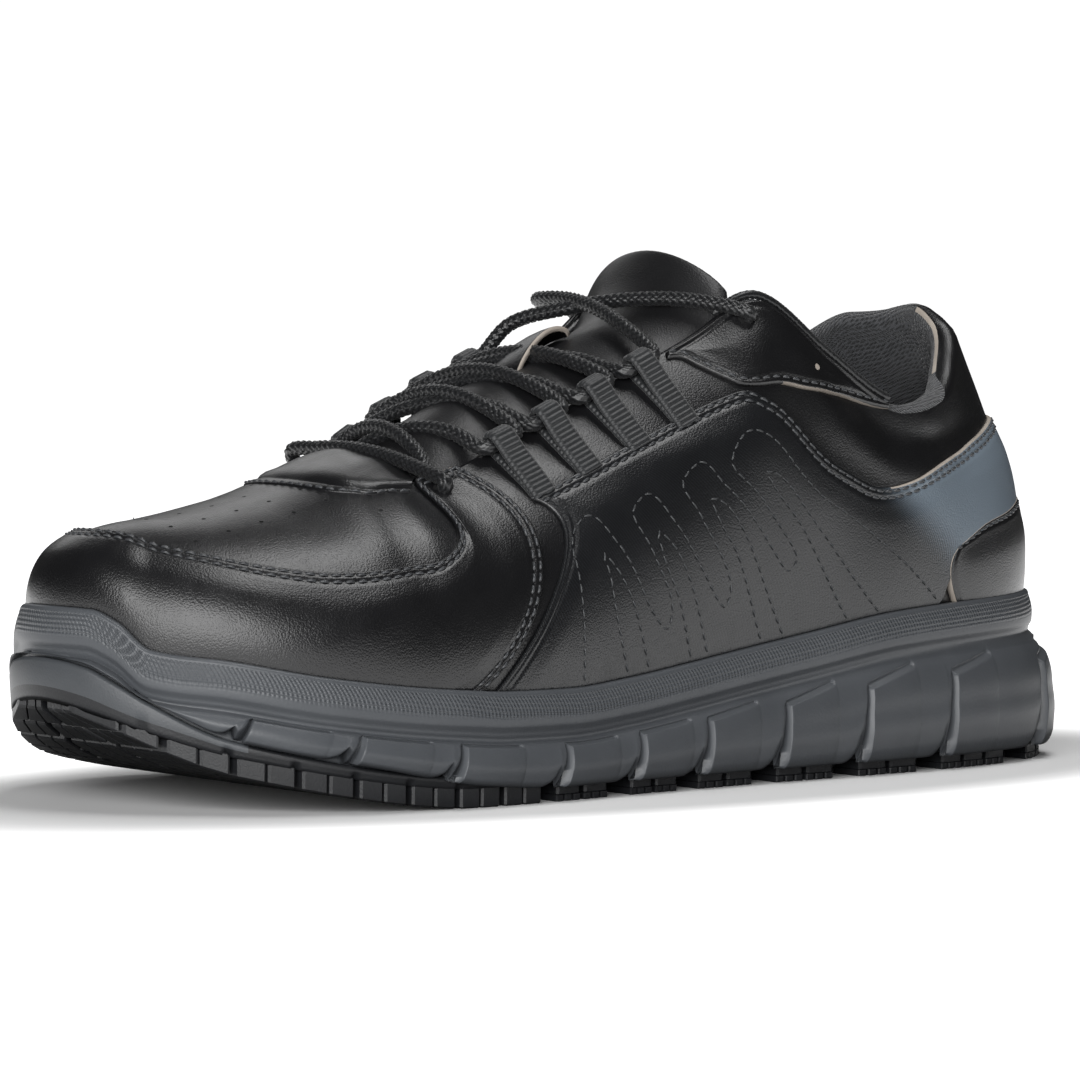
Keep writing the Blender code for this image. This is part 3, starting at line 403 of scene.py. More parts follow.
def curve_through(points: Array, count: int) -> Array:
    """Smooth curve through a few points, evenly spaced along its length.

    Args:
        points: rows of coordinates to pass.
        count: number of points wanted.

    Returns:
        The points of the curve.
    """
    points = np.asarray(points, dtype=float)
    steps = np.sqrt(np.linalg.norm(np.diff(points, axis=0), axis=1)) + 1e-9
    knots = np.concatenate([[0.0], np.cumsum(steps)])
    secants = np.diff(points, axis=0) / steps[:, None]
    slopes = np.empty_like(points)
    before, after = steps[:-1, None], steps[1:, None]
    slopes[1:-1] = (secants[:-1] * after + secants[1:] * before) / (before + after)
    slopes[0] = 1.5 * secants[0] - 0.5 * slopes[1] if len(points) > 2 else secants[0]
    slopes[-1] = 1.5 * secants[-1] - 0.5 * slopes[-2] if len(points) > 2 else secants[-1]
    fine = np.linspace(0.0, knots[-1], 40 * len(points))
    i = np.clip(np.searchsorted(knots, fine, side="right") - 1, 0, len(steps) - 1)
    step = steps[i][:, None]
    q = (fine - knots[i])[:, None] / step
    dense = (
        (1 + 2 * q) * (1 - q) ** 2 * points[i]
        + q * (1 - q) ** 2 * step * slopes[i]
        + q * q * (3 - 2 * q) * points[i + 1]
        + q * q * (q - 1) * step * slopes[i + 1]
    )
    return even_steps(dense, count)


def even_steps(points: Array, count: int) -> Array:
    """The same line with its points evenly spaced."""
    gone = np.concatenate([[0.0], np.cumsum(np.linalg.norm(np.diff(points, axis=0), axis=1))])
    wanted = np.linspace(0.0, gone[-1], count)
    return np.stack([np.interp(wanted, gone, points[:, c]) for c in range(points.shape[1])], axis=1)


def run_length(points: Array, axis: int) -> Array:
    """Distance walked along one axis of a grid of points, from its start."""
    steps = np.linalg.norm(np.diff(points, axis=axis), axis=-1)
    start = np.zeros([1 if a == axis else n for a, n in enumerate(steps.shape)])
    return np.concatenate([start, np.cumsum(steps, axis=axis)], axis=axis)


def deselect() -> None:
    """Leaves object mode clean, with nothing selected."""
    if bpy.context.mode != "OBJECT":
        bpy.ops.object.mode_set(mode="OBJECT")
    bpy.ops.object.select_all(action="DESELECT")


def activate(obj: Object) -> None:
    """Selects one object alone."""
    deselect()
    obj.select_set(True)
    bpy.context.view_layer.objects.active = obj


def finish_with(obj: Object, kind: str, **settings: object) -> None:
    """Adds a modifier with its settings and applies it."""
    modifier = obj.modifiers.new(kind.lower(), kind)
    for key, value in settings.items():
        setattr(modifier, key, value)
    activate(obj)
    bpy.ops.object.modifier_apply(modifier=modifier.name)


def edit_all(obj: Object, operator: Callable[..., object], **settings: object) -> None:
    """Runs one operator on a whole mesh in edit mode."""
    activate(obj)
    bpy.ops.object.mode_set(mode="EDIT")
    bpy.ops.mesh.select_all(action="SELECT")
    operator(**settings)
    bpy.ops.object.mode_set(mode="OBJECT")


def merge(obj: Object) -> None:
    """Joins points that coincide."""
    edit_all(obj, bpy.ops.mesh.remove_doubles, threshold=WELD * MM)


def recalculate(obj: Object) -> None:
    """Turns all faces of a closed mesh outwards."""
    edit_all(obj, bpy.ops.mesh.normals_make_consistent, inside=False)


def seal(obj: Object) -> None:
    """Makes a lofted skin one closed mesh: seams joined, open ends capped, faces outwards."""
    merge(obj)
    edit_all(obj, bpy.ops.mesh.fill_holes, sides=0)
    recalculate(obj)


def delete_faces(obj: Object, chosen: Array) -> None:
    """Deletes the faces that a mask names."""
    activate(obj)
    bpy.ops.object.mode_set(mode="EDIT")
    bpy.ops.mesh.select_mode(type="FACE")
    bpy.ops.mesh.select_all(action="DESELECT")
    bpy.ops.object.mode_set(mode="OBJECT")
    obj.data.polygons.foreach_set("select", chosen.astype(bool))
    bpy.ops.object.mode_set(mode="EDIT")
    bpy.ops.mesh.delete(type="FACE")
    bpy.ops.object.mode_set(mode="OBJECT")


def set_attribute(obj: Object, name: str, values: Array) -> None:
    """Stores one number per point of a mesh, for its material to read."""
    attribute = obj.data.attributes.new(name, "FLOAT", "POINT")
    attribute.data.foreach_set("value", np.asarray(values, dtype=np.float32).ravel())


@dataclass
class Grid:
    """A grid primitive shaped point by point, with what is needed to dress its faces."""

    obj: Object
    row: Array
    column: Array
    face_row: Array
    face_column: Array

    def paint(self, chosen: Array, slot: int) -> None:
        """Gives the chosen faces another material slot, before anything changes the mesh."""
        index = np.zeros(len(self.face_row), dtype=np.int32)
        self.obj.data.polygons.foreach_get("material_index", index)
        index[chosen] = slot
        self.obj.data.polygons.foreach_set("material_index", index)


def shaped_grid(name: str, points: Array, flat: Array | None = None) -> Grid:
    """Adds a grid and moves its points to a shape.

    Args:
        name: name of the piece.
        points: rows of columns of points on the last, in millimetres.
        flat: flat places of the points in millimetres, for patterns that follow the surface.

    Returns:
        The grid with its rows and columns.
    """
    rows, columns = points.shape[:2]
    deselect()
    bpy.ops.mesh.primitive_grid_add(x_subdivisions=columns - 1, y_subdivisions=rows - 1, size=2.0)
    obj = bpy.context.object
    obj.name = name
    mesh = obj.data
    mesh.name = name
    start = np.empty(len(mesh.vertices) * 3)
    mesh.vertices.foreach_get("co", start)
    start = start.reshape(-1, 3)
    column = np.rint((start[:, 0] + 1) / 2 * (columns - 1)).astype(int)
    row = np.rint((start[:, 1] + 1) / 2 * (rows - 1)).astype(int)
    mesh.vertices.foreach_set("co", to_frame(points[row, column]).ravel())
    if flat is None:
        flat = np.stack([run_length(points, 1), run_length(points, 0)], axis=-1)
    corner = np.empty(len(mesh.loops), dtype=np.int32)
    mesh.loops.foreach_get("vertex_index", corner)
    mesh.uv_layers[0].uv.foreach_set("vector", (flat[row, column][corner] * MM).ravel())
    mesh.update()
    corners = corner.reshape(-1, 4)
    mesh.polygons.foreach_set("use_smooth", np.ones(len(mesh.polygons), dtype=bool))
    return Grid(obj, row, column, row[corners].min(axis=1), column[corners].min(axis=1))


def stamped(name: str, faces: list[tuple[int, ...]], copies: Sequence[Array]) -> Object:
    """One piece of many copies of a small shape, each copy given by its points."""
    made = []
    for i, points in enumerate(copies):
        made += [tuple(v + i * len(points) for v in face) for face in faces]
    mesh = bpy.data.meshes.new(name)
    mesh.from_pydata(to_frame(np.concatenate(copies)).tolist(), [], made)
    obj = bpy.data.objects.new(name, mesh)
    bpy.context.scene.collection.objects.link(obj)
    return obj


def dress(obj: Object, *finishes: "Finish") -> None:
    """Gives a piece its materials in slot order."""
    while len(obj.data.materials) > 0:
        obj.data.materials.pop()
    for finish in finishes:
        obj.data.materials.append(finish.material())


def hand_over(obj: Object, slot: str, *nodes: str) -> None:
    """Lets a piece ride on the shoe and hides the solids that it stands for."""
    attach(obj, "root")
    if nodes:
        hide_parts(*nodes)
    LOG.info("%s: %d faces", obj.name, len(obj.data.polygons))


def colour(code: str) -> tuple[float, float, float, float]:
    """Linear colour of an sRGB hex code."""
    parts = [int(code[i : i + 2], 16) / 255 for i in (1, 3, 5)]
    linear = [c / 12.92 if c <= 0.04045 else ((c + 0.055) / 1.055) ** 2.4 for c in parts]
    return (linear[0], linear[1], linear[2], 1.0)


def add_node(
    tree: NodeTree, kind: str, inputs: dict[str | int, object] | None = None, **settings: object
) -> Node:
    """Adds a node with its settings and links.

    Args:
        tree: node tree of a material or world.
        kind: type of the shader node.
        inputs: values or output sockets by input name or number.
        settings: properties of the node.

    Returns:
        The node.
    """
    made = tree.nodes.new("ShaderNode" + kind)
    for key, value in settings.items():
        setattr(made, key, value)
    for key, value in (inputs or {}).items():
        if isinstance(value, NodeSocket):
            tree.links.new(value, made.inputs[key])
        else:
            made.inputs[key].default_value = value
    return made


@dataclass(frozen=True)
class Finish:
    """Base of all finishes: a named material that is made once and then shared."""

    name: str

    def material(self) -> Material:
        """The material, made at its first use."""
        if self.name in bpy.data.materials:
            return bpy.data.materials[self.name]
        made = bpy.data.materials.new(self.name)
        made.use_nodes = True
        tree = made.node_tree
        self.paint(tree, tree.nodes["Principled BSDF"])
        return made

    def paint(self, tree: NodeTree, shader: Node) -> None:
        """Fills the node tree; each finish has its own."""
        raise NotImplementedError


@dataclass(frozen=True)
class Leather(Finish):
    """Corrected-grain leather, pigmented and sprayed with a satin lacquer.

    Pressed pebbles break a broad soft highlight, and the lacquer adds a faint second gloss.
    The real pebbles are about 0.4 mm; only their fine speckle shows from afar. Lengths are in
    millimetres: cloud, patch and swell are widths of uneven tone, gloss and surface, sag is the
    depth of the swell, waver and shift bend the pebbles, and hairline is the pitch of the print.
    """

    dark: str = "#0f0f10"
    light: str = "#19191b"
    roughness: float = 0.31
    pebble: float = 0.42
    relief: float = 0.062
    coat: float = 0.2
    fades: bool = False
    fade_tone: str = "#84919d"
    cloud: float = 18.0
    patch: float = 5.0
    swell: float = 14.0
    sag: float = 0.25
    waver: float = 1.6
    shift: float = 0.15
    hairline: float = 0.42

    def paint(self, tree: NodeTree, shader: Node) -> None:
        """Pebbled grain, uneven lacquer and, on the quarter, a printed fade."""
        place = add_node(tree, "TexCoord").outputs["Object"]
        cloud = add_node(tree, "TexNoise", {"Vector": place, "Scale": 1 / (self.cloud * MM), "Detail": 3.0})
        tone = add_node(
            tree, "Mix", {0: cloud.outputs["Fac"], 6: colour(self.dark), 7: colour(self.light)},
            data_type="RGBA",
        )
        top = tone.outputs[2]
        if self.fades:
            top = self.faded(tree, tone.outputs[2])
        tree.links.new(top, shader.inputs["Base Color"])
        gloss = add_node(tree, "TexNoise", {"Vector": place, "Scale": 1 / (self.patch * MM), "Detail": 2.0})
        rough = add_node(
            tree, "MapRange",
            {"Value": gloss.outputs["Fac"], "From Min": 0.3, "From Max": 0.7,
             "To Min": self.roughness - 0.02, "To Max": self.roughness + 0.03},
        )
        tree.links.new(rough.outputs["Result"], shader.inputs["Roughness"])
        bend = add_node(tree, "TexNoise", {"Vector": place, "Scale": 1 / (self.waver * MM), "Detail": 1.0})
        moved = add_node(
            tree, "VectorMath", {0: bend.outputs["Color"], 1: (self.shift * MM,) * 3, 2: place},
            operation="MULTIPLY_ADD",
        )
        grain = add_node(
            tree, "TexVoronoi", {"Vector": moved.outputs[0], "Scale": 1 / (self.pebble * MM)},
            feature="SMOOTH_F1",
        )
        grain.inputs["Smoothness"].default_value = 0.6
        fine = add_node(
            tree, "Bump",
            {"Height": grain.outputs["Distance"], "Distance": self.relief * MM, "Strength": 1.0}, invert=True,
        )
        slow = add_node(tree, "TexNoise", {"Vector": place, "Scale": 1 / (self.swell * MM), "Detail": 2.0})
        bump = add_node(
            tree, "Bump",
            {"Height": slow.outputs["Fac"], "Distance": self.sag * MM, "Strength": 0.15,
             "Normal": fine.outputs["Normal"]},
        )
        tree.links.new(bump.outputs["Normal"], shader.inputs["Normal"])
        shader.inputs["Coat Weight"].default_value = self.coat
        shader.inputs["Coat Roughness"].default_value = 0.28
        shader.inputs["Specular IOR Level"].default_value = 0.5

    def faded(self, tree: NodeTree, dark: NodeSocket) -> NodeSocket:
        """Printed fade through fine slanting lines, led by the piece's own attribute.

        Args:
            tree: node tree of the material.
            dark: colour of the plain leather.

        Returns:
            The mixed colour.
        """
        share = add_node(tree, "Attribute", attribute_name="fade").outputs["Fac"]
        flat = add_node(tree, "TexCoord").outputs["UV"]
        lines = add_node(
            tree, "TexWave", {"Vector": flat, "Scale": 2 * pi / 20 / (self.hairline * MM), "Distortion": 0.0},
            bands_direction="DIAGONAL",
        )
        edge = add_node(tree, "Math", {0: lines.outputs["Fac"], 1: -0.22, 2: share}, operation="MULTIPLY_ADD")
        step = add_node(
            tree, "MapRange", {"Value": edge.outputs[0], "From Min": -0.1, "From Max": 0.7},
            interpolation_type="SMOOTHSTEP",
        )
        mixed = add_node(
            tree, "Mix", {0: step.outputs["Result"], 6: dark, 7: colour(self.fade_tone)}, data_type="RGBA"
        )
        return mixed.outputs[2]


@dataclass(frozen=True)
class Foam(Finish):
    """Moulded foam with a dense matt skin; its rim band carries a fine cross-hatch from the mould.

    Lengths are in millimetres: pitch and depth of the hatch, width of uneven tone and of pores, and
    the depth of the pores.
    """

    tone: str = "#585b5f"
    shade: str = "#4a4d51"
    roughness: float = 0.4
    hatch: float = 2.1
    hatch_relief: float = 0.14
    cloud: float = 12.0
    pore: float = 0.8
    pore_relief: float = 0.07

    def paint(self, tree: NodeTree, shader: Node) -> None:
        """Speckled skin, and hatched where the band attribute is 1."""
        coord = add_node(tree, "TexCoord")
        place = coord.outputs["Object"]
        cloud = add_node(tree, "TexNoise", {"Vector": place, "Scale": 1 / (self.cloud * MM), "Detail": 4.0})
        tone = add_node(
            tree, "Mix", {0: cloud.outputs["Fac"], 6: colour(self.shade), 7: colour(self.tone)},
            data_type="RGBA",
        )
        tree.links.new(tone.outputs[2], shader.inputs["Base Color"])
        shader.inputs["Roughness"].default_value = self.roughness
        flat = add_node(tree, "SeparateXYZ", {0: coord.outputs["UV"]})
        turns = []
        for sign in (1.0, -1.0):
            slant = add_node(
                tree, "Math", {0: flat.outputs["Y"], 1: sign, 2: flat.outputs["X"]}, operation="MULTIPLY_ADD"
            )
            turn = add_node(
                tree, "Math", {0: slant.outputs[0], 1: 2 * pi / (self.hatch * MM)}, operation="MULTIPLY"
            )
            turns.append(add_node(tree, "Math", {0: turn.outputs[0]}, operation="SINE"))
        diamonds = add_node(
            tree, "Math", {0: turns[0].outputs[0], 1: turns[1].outputs[0]}, operation="MULTIPLY"
        )
        band = add_node(tree, "Attribute", attribute_name="band").outputs["Fac"]
        pattern = add_node(tree, "Math", {0: diamonds.outputs[0], 1: band}, operation="MULTIPLY")
        hatched = add_node(
            tree, "Bump", {"Height": pattern.outputs[0], "Distance": self.hatch_relief * MM, "Strength": 1.0}
        )
        pores = add_node(tree, "TexNoise", {"Vector": place, "Scale": 1 / (self.pore * MM), "Detail": 2.0})
        bump = add_node(
            tree, "Bump",
            {"Height": pores.outputs["Fac"], "Distance": self.pore_relief * MM, "Strength": 0.7,
             "Normal": hatched.outputs["Normal"]},
        )
        tree.links.new(bump.outputs["Normal"], shader.inputs["Normal"])


@dataclass(frozen=True)
class Grained(Finish):
    """Plain matt stuff with a fine grain: moulded rubber, cut leather, thread or felt."""

    tone: str = "#1c1d1f"
    shade: str = "#151617"
    roughness: float = 0.55
    grit: float = 0.5
    relief: float = 0.05
    sheen: float = 0.0
    # attribute that sets the tone in place of the noise; the lace uses it for painted shade in the braid's
    # valleys
    led_by: str = ""
    cloud: float = 6.0

    def paint(self, tree: NodeTree, shader: Node) -> None:
        """Uneven tone and a fine bump; with led_by the tone follows that attribute instead, which on the lace
        paints shade into the braid's valleys.
        """
        place = add_node(tree, "TexCoord").outputs["Object"]
        cloud = add_node(tree, "TexNoise", {"Vector": place, "Scale": 1 / (self.cloud * MM), "Detail": 4.0})
        share = cloud.outputs["Fac"]
        if self.led_by:
            share = add_node(tree, "Attribute", attribute_name=self.led_by).outputs["Fac"]
        tone = add_node(
            tree, "Mix", {0: share, 6: colour(self.shade), 7: colour(self.tone)}, data_type="RGBA"
        )
        tree.links.new(tone.outputs[2], shader.inputs["Base Color"])
        shader.inputs["Roughness"].default_value = self.roughness
        shader.inputs["Sheen Weight"].default_value = self.sheen
        grit = add_node(tree, "TexNoise", {"Vector": place, "Scale": 1 / (self.grit * MM), "Detail": 2.0})
        bump = add_node(
            tree, "Bump", {"Height": grit.outputs["Fac"], "Distance": self.relief * MM, "Strength": 1.0}
        )
        tree.links.new(bump.outputs["Normal"], shader.inputs["Normal"])


@dataclass(frozen=True)
class Knit(Finish):
    """Spacer mesh: a knitted net of small open cells, darker at their middles as painted shade in the holes.
    """

    # thread: tone of the knitted net; ground: darker tone of the cells' middles, painted shade of the holes
    thread: str = "#47484b"
    ground: str = "#1f2022"
    cell: float = 1.15
    relief: float = 0.35

    def paint(self, tree: NodeTree, shader: Node) -> None:
        """Rounded cells, dark at their middles: painted shade in the open cells, led by the same height that
        dents the bump.
        """
        flat = add_node(tree, "TexCoord").outputs["UV"]
        cells = add_node(
            tree, "TexVoronoi", {"Vector": flat, "Scale": 1 / (self.cell * MM), "Randomness": 0.35},
            voronoi_dimensions="2D",
        )
        tone = add_node(
            tree, "MapRange", {"Value": cells.outputs["Distance"], "From Min": 0.12, "From Max": 0.5},
        )
        mixed = add_node(
            tree, "Mix", {0: tone.outputs["Result"], 6: colour(self.ground), 7: colour(self.thread)},
            data_type="RGBA",
        )
        tree.links.new(mixed.outputs[2], shader.inputs["Base Color"])
        shader.inputs["Roughness"].default_value = 0.85
        shader.inputs["Sheen Weight"].default_value = 0.25
        bump = add_node(
            tree, "Bump", {"Height": tone.outputs["Result"], "Distance": self.relief * MM, "Strength": 1.0}
        )
        tree.links.new(bump.outputs["Normal"], shader.inputs["Normal"])


BLACK_LEATHER = Leather("satin_black_leather")
QUARTER_LEATHER = Leather("faded_quarter_leather", fades=True)
TONGUE_LEATHER = Leather("soft_tongue_leather", roughness=0.44, coat=0.1)
CUT_LEATHER = Grained("cut_leather_edge", tone="#c2b9ae", shade="#958b81", roughness=0.8, grit=0.4)
MIDSOLE_FOAM = Foam("moulded_midsole_foam")
OUTSOLE_RUBBER = Grained("moulded_outsole_rubber", tone="#252629", shade="#1a1b1d", roughness=0.42)
TOE_RUBBER = Grained("toe_wrap_rubber", tone="#4f5256", shade="#45484b", roughness=0.42)
LINING_KNIT = Knit("charcoal_lining_knit_painted_cell_shade")
# Near-black discs at the air holes and eyelets: painted shade standing in for the dark inside of the holes.
HOLE_PAINTED_SHADE = Grained("painted_hole_shade", tone="#060607", shade="#040405", roughness=0.9)
WEBBING_CLOTH = Grained(
    "ribbed_webbing", tone="#292b2d", shade="#161719", roughness=0.45, grit=0.3, sheen=0.2
)
# Tone follows the plait's height: the near-black valleys between the strands are painted shade on black yarn.
LACE_YARN_PAINTED_SHADE = Grained(
    "braided_lace_yarn_painted_shade", tone="#242527", shade="#040405", roughness=0.3, grit=0.3, sheen=0.1, led_by="plait"
)
# Both threads are black; their tone is lifted to mid grey to paint their satin sheen.
BLACK_THREAD_PAINTED_SHEEN = Grained("black_thread_painted_sheen", tone="#4c4e51", shade="#2b2c2e", roughness=0.35, grit=0.25)
WAVE_THREAD_PAINTED_SHEEN = Grained("wave_thread_painted_sheen", tone="#4a4c4e", shade="#2b2c2e", roughness=0.35, grit=0.25)
INSOLE_CLOTH = Grained(
    "insole_cloth", tone="#202124", shade="#131416", roughness=0.9, grit=0.6, relief=0.12, sheen=0.4
)


@dataclass
class Upper:
    """Leather shell with its rolled, padded collar and its knitted lining, in one closed wall."""

    around: int = 460
    heights: int = 48
    roll_steps: int = 12
    inside: int = 26
    roll: float = 2.8
    horn: float = 4.2
    horn_width: float = 7.5
    turned_in: int = 5
    knit_from: float = 0.25

    def build(self) -> Object:
        """Shapes the shell from the outer foot over the collar down to the inner foot.

        Returns:
            The finished piece.
        """
        u = np.linspace(0.0, LAST.round, self.around + 1)
        row = LAST.rows(u)[0]
        thick = LAST.thickness(u, np.ones_like(u))
        edge = np.clip(row[:, Col.TILT] / radians(12.0), 0.0, 1.0)
        roll = np.minimum(thick / 2, self.roll) * edge
        height = np.linalg.norm(LAST.wall(u, 1.0) - LAST.wall(u, 0.9), axis=-1)
        end = 1.0 - 0.1 * roll / height
        behind = row[:, Col.X] < 40.0
        roll = roll + behind * self.horn * np.exp(-0.5 * (row[:, Col.TOP_Y] / self.horn_width) ** 2)
        steps = np.linspace(0.0, 1.0, self.heights)
        outer_t = steps[:, None] * end[None, :]
        outer = LAST.skin(u[None, :], outer_t, 0.0)
        foot = LAST.offset(u, 0.0, row[:, Col.FLOOR] + 0.4)[None]
        side = LAST.normal(u, end)
        way = LAST.wall(u, end) - LAST.wall(u, end - 0.02)
        way /= np.linalg.norm(way, axis=-1, keepdims=True)
        centre = outer[-1] - side * thick[:, None] / 2
        turn = radians(100.0) * self.turned_share(row) + 0.03
        arcs = []
        for k in range(1, self.roll_steps + 1):
            rest = max(k - self.turned_in, 0) / (self.roll_steps + 1 - self.turned_in)
            angle = turn * min(k / self.turned_in, 1.0) + (pi - turn) * rest
            across, ahead = thick / 2 * np.cos(angle), roll * np.sin(angle)
            arcs.append(centre + side * across[:, None] + way * ahead[:, None])
        inner_t = np.linspace(1.0, 0.0, self.inside)[:, None] * end[None, :]
        inner = LAST.skin(u[None, :], inner_t, 0.0)
        inner -= LAST.normal(u[None, :], inner_t) * LAST.thickness(u[None, :], inner_t)[..., None]
        inner_foot = LAST.offset(u, -2.2, row[:, Col.FLOOR] + 0.4)[None]
        points = np.concatenate([foot, outer, np.array(arcs), inner, inner_foot])
        points[:, -1] = points[:, 0]
        grid = shaped_grid("upper_shell", points)
        self.dress(grid, row)
        ridge = row[:, Col.TILT] < radians(0.5)
        over = (grid.face_row >= self.heights) & (grid.face_row <= self.heights + self.roll_steps)
        flat = ridge[grid.face_column] & ridge[grid.face_column + 1]
        delete_faces(grid.obj, over & flat)
        merge(grid.obj)
        recalculate(grid.obj)
        hand_over(grid.obj, "black_leather", "upper")
        return grid.obj

    @staticmethod
    def turned_share(row: Array) -> Array:
        """How far the leather is turned in over the collar, as a share: fully at the heel's outer side."""
        return (1 - smooth(row[:, Col.X], 29.0, 46.0)) * smooth(row[:, Col.TOP_Y], -12.0, -4.0)

    def dress(self, grid: Grid, row: Array) -> None:
        """Leather outside, knit over the padded roll and inside, and a pale cut edge at the back.

        Args:
            grid: the shaped shell.
            row: columns of the last round the shell.
        """
        dress(grid.obj, BLACK_LEATHER, LINING_KNIT, CUT_LEATHER)
        padded = row[grid.face_column, Col.PAD] > self.knit_from
        grid.paint(grid.face_row > self.heights + self.roll_steps, 1)
        x, y = row[grid.face_column, Col.X], row[grid.face_column, Col.TOP_Y]
        brim = self.heights + self.turned_in
        grid.paint((grid.face_row >= brim) & padded, 1)
        grid.paint((grid.face_row >= brim) & (grid.face_row < brim + 2) & (x < 28.0) & (y > 0.5), 2)


@dataclass(frozen=True)
class Seam:
    """One line up an overlay: station x and share t of the wall height at foot, waist and head."""

    foot_x: float
    foot_t: float
    waist_x: float
    waist_t: float
    head_x: float
    head_t: float


class Edge(Enum):
    """Edges of an overlay; head and foot run along it."""

    FOOT = "foot"
    HEAD = "head"
    START = "start"
    END = "end"


@dataclass(frozen=True)
class Pale:
    """Part of an edge that was left raw and pale, as shares of its length."""

    edge: Edge
    start: float = 0.0
    end: float = 1.0


HIDDEN_FOOT = -0.015  # foot of an overlay that is tucked behind the midsole rim


@dataclass
class Overlay:
    """A leather piece sewn on the upper, with rounded, stitched-down edges."""

    name: str
    node: str
    lines: tuple[Seam, ...]
    sides: tuple[Side, ...]
    free: tuple[Edge, ...]
    finish: Finish
    pale: tuple[Pale, ...] = ()
    along: int = 160
    across: int = 26
    wall: float = 1.35
    rounding: float = 0.9
    rows_in: tuple[float, ...] = (1.2, 3.0)
    dip: float = 0.4
    lead: tuple[float, ...] = (0.0, 0.08, 0.25, 0.5, 0.8, 1.2, 1.6, 2.1, 2.6, 3.0, 3.4, 4.0, 5.0)
    spots: Array = field(default_factory=lambda: np.zeros(0))
    surface: Array = field(default_factory=lambda: np.zeros(0))
    lifts: Array = field(default_factory=lambda: np.zeros(0))

    def controls(self) -> Array:
        """Control points (u, t) of every line, on one side or round from side to side."""
        rows = []
        for side in self.sides:
            ordered = self.lines if side == self.sides[0] else self.lines[-2::-1]
            for line in ordered:
                rows.append(
                    [
                        (float(LAST.round_at(line.foot_x, side)), line.foot_t),
                        (float(LAST.round_at(line.waist_x, side)), line.waist_t),
                        (float(LAST.round_at(line.head_x, side)), line.head_t),
                    ]
                )
        made = np.array(rows)
        u = made[:, :, 0]
        if np.ptp(u) > LAST.round * 0.9:
            made[:, :, 0] = np.where(u > LAST.round / 2, u - LAST.round, u)
        return made

    def spot(self, a: Array, b: Array) -> Array:
        """Places (u, t) on the upper: a runs along the piece in lines, b from foot to head."""
        lines = self.controls()
        last = len(lines) - 1
        i = np.clip(np.asarray(a).astype(int), 0, last - 1)
        q = (a - i)[..., None, None]
        before, first = lines[np.maximum(i - 1, 0)], lines[i]
        second, after = lines[i + 1], lines[np.minimum(i + 2, last)]
        line = (
            first
            + 0.5 * q * (second - before)
            + q * q * (before - 2.5 * first + 2 * second - 0.5 * after)
            + q**3 * (1.5 * (first - second) + 0.5 * (after - before))
        )
        b = np.asarray(b)[..., None]
        foot, waist, head = line[..., 0, :], line[..., 1, :], line[..., 2, :]
        return (1 - b) * (1 - 2 * b) * foot + 4 * b * (1 - b) * waist + b * (2 * b - 1) * head

    def spread(self, length: Array, free: tuple[bool, bool], count: int) -> Array:
        """Shares of a length with close rows near its free ends.

        Args:
            length: the length of each line in millimetres.
            free: whether the start and the end are free edges.
            count: rows in the middle.

        Returns:
            Shares, one row of them for each length.
        """
        lead = np.array(self.lead)
        start = lead if free[0] else np.zeros(1)
        end = lead if free[1] else np.zeros(1)
        scale = np.minimum(1.0, 0.46 * length / lead[-1])[:, None]
        first = start[None, :] * scale
        last = length[:, None] - end[None, ::-1] * scale
        middle = np.linspace(0.0, 1.0, count + 2)[1:-1][None, :]
        inner = first[:, -1:] + (last[:, :1] - first[:, -1:]) * middle
        return np.concatenate([first, inner, last], axis=1) / length[:, None]

    def build(self) -> Object:
        """Shapes the sheet, presses its stitch rows in and closes it underneath.

        Returns:
            The finished piece.
        """
        span = len(self.controls()) - 1
        coarse_a = np.linspace(0.0, span, 400)
        waist = LAST.wall(*np.moveaxis(self.spot(coarse_a, np.full(400, 0.5)), -1, 0))
        gone = run_length(waist[None], 1)[0]
        ends = (Edge.START in self.free, Edge.END in self.free)
        shares = self.spread(gone[-1:], ends, self.along)[0]
        a = np.interp(shares * gone[-1], gone, coarse_a)
        fine_b = np.linspace(0.0, 1.0, 80)
        ladder = self.spot(np.repeat(a[:, None], 80, axis=1), np.repeat(fine_b[None], len(a), axis=0))
        climbed = run_length(LAST.wall(ladder[..., 0], ladder[..., 1]), 1)
        share_b = self.spread(climbed[:, -1], (Edge.FOOT in self.free, Edge.HEAD in self.free), self.across)
        b = np.array([np.interp(s * c[-1], c, fine_b) for s, c in zip(share_b, climbed)])
        spots = self.spot(np.repeat(a[:, None], b.shape[1], axis=1), b)
        base = LAST.wall(spots[..., 0], spots[..., 1])
        far = self.distances(base)
        height = self.heights(np.min([far[e] for e in self.free], axis=0))
        points = LAST.skin(spots[..., 0], spots[..., 1], height)
        self.spots, self.surface, self.lifts = spots, points, height
        grid = shaped_grid(self.name, points)
        dress(grid.obj, self.finish, CUT_LEATHER)
        self.mark_pale(grid)
        self.mark_fade(grid, spots)
        outward = LAST.normal(spots[..., 0], spots[..., 1])[grid.row, grid.column]
        normals = np.empty(len(grid.obj.data.vertices) * 3)
        grid.obj.data.vertices.foreach_get("normal", normals)
        if float((normals.reshape(-1, 3) * outward).sum()) < 0:
            edit_all(grid.obj, bpy.ops.mesh.flip_normals)
        finish_with(grid.obj, "SOLIDIFY", thickness=0.5 * MM, offset=-1.0)
        hand_over(grid.obj, "black_leather", self.node)
        return grid.obj

    def distances(self, base: Array) -> dict[Edge, Array]:
        """Distance of every point from each edge, along the piece."""
        climb, walk = run_length(base, 1), run_length(base, 0)
        return {
            Edge.FOOT: climb,
            Edge.HEAD: climb[:, -1:] - climb,
            Edge.START: walk,
            Edge.END: walk[-1:] - walk,
        }

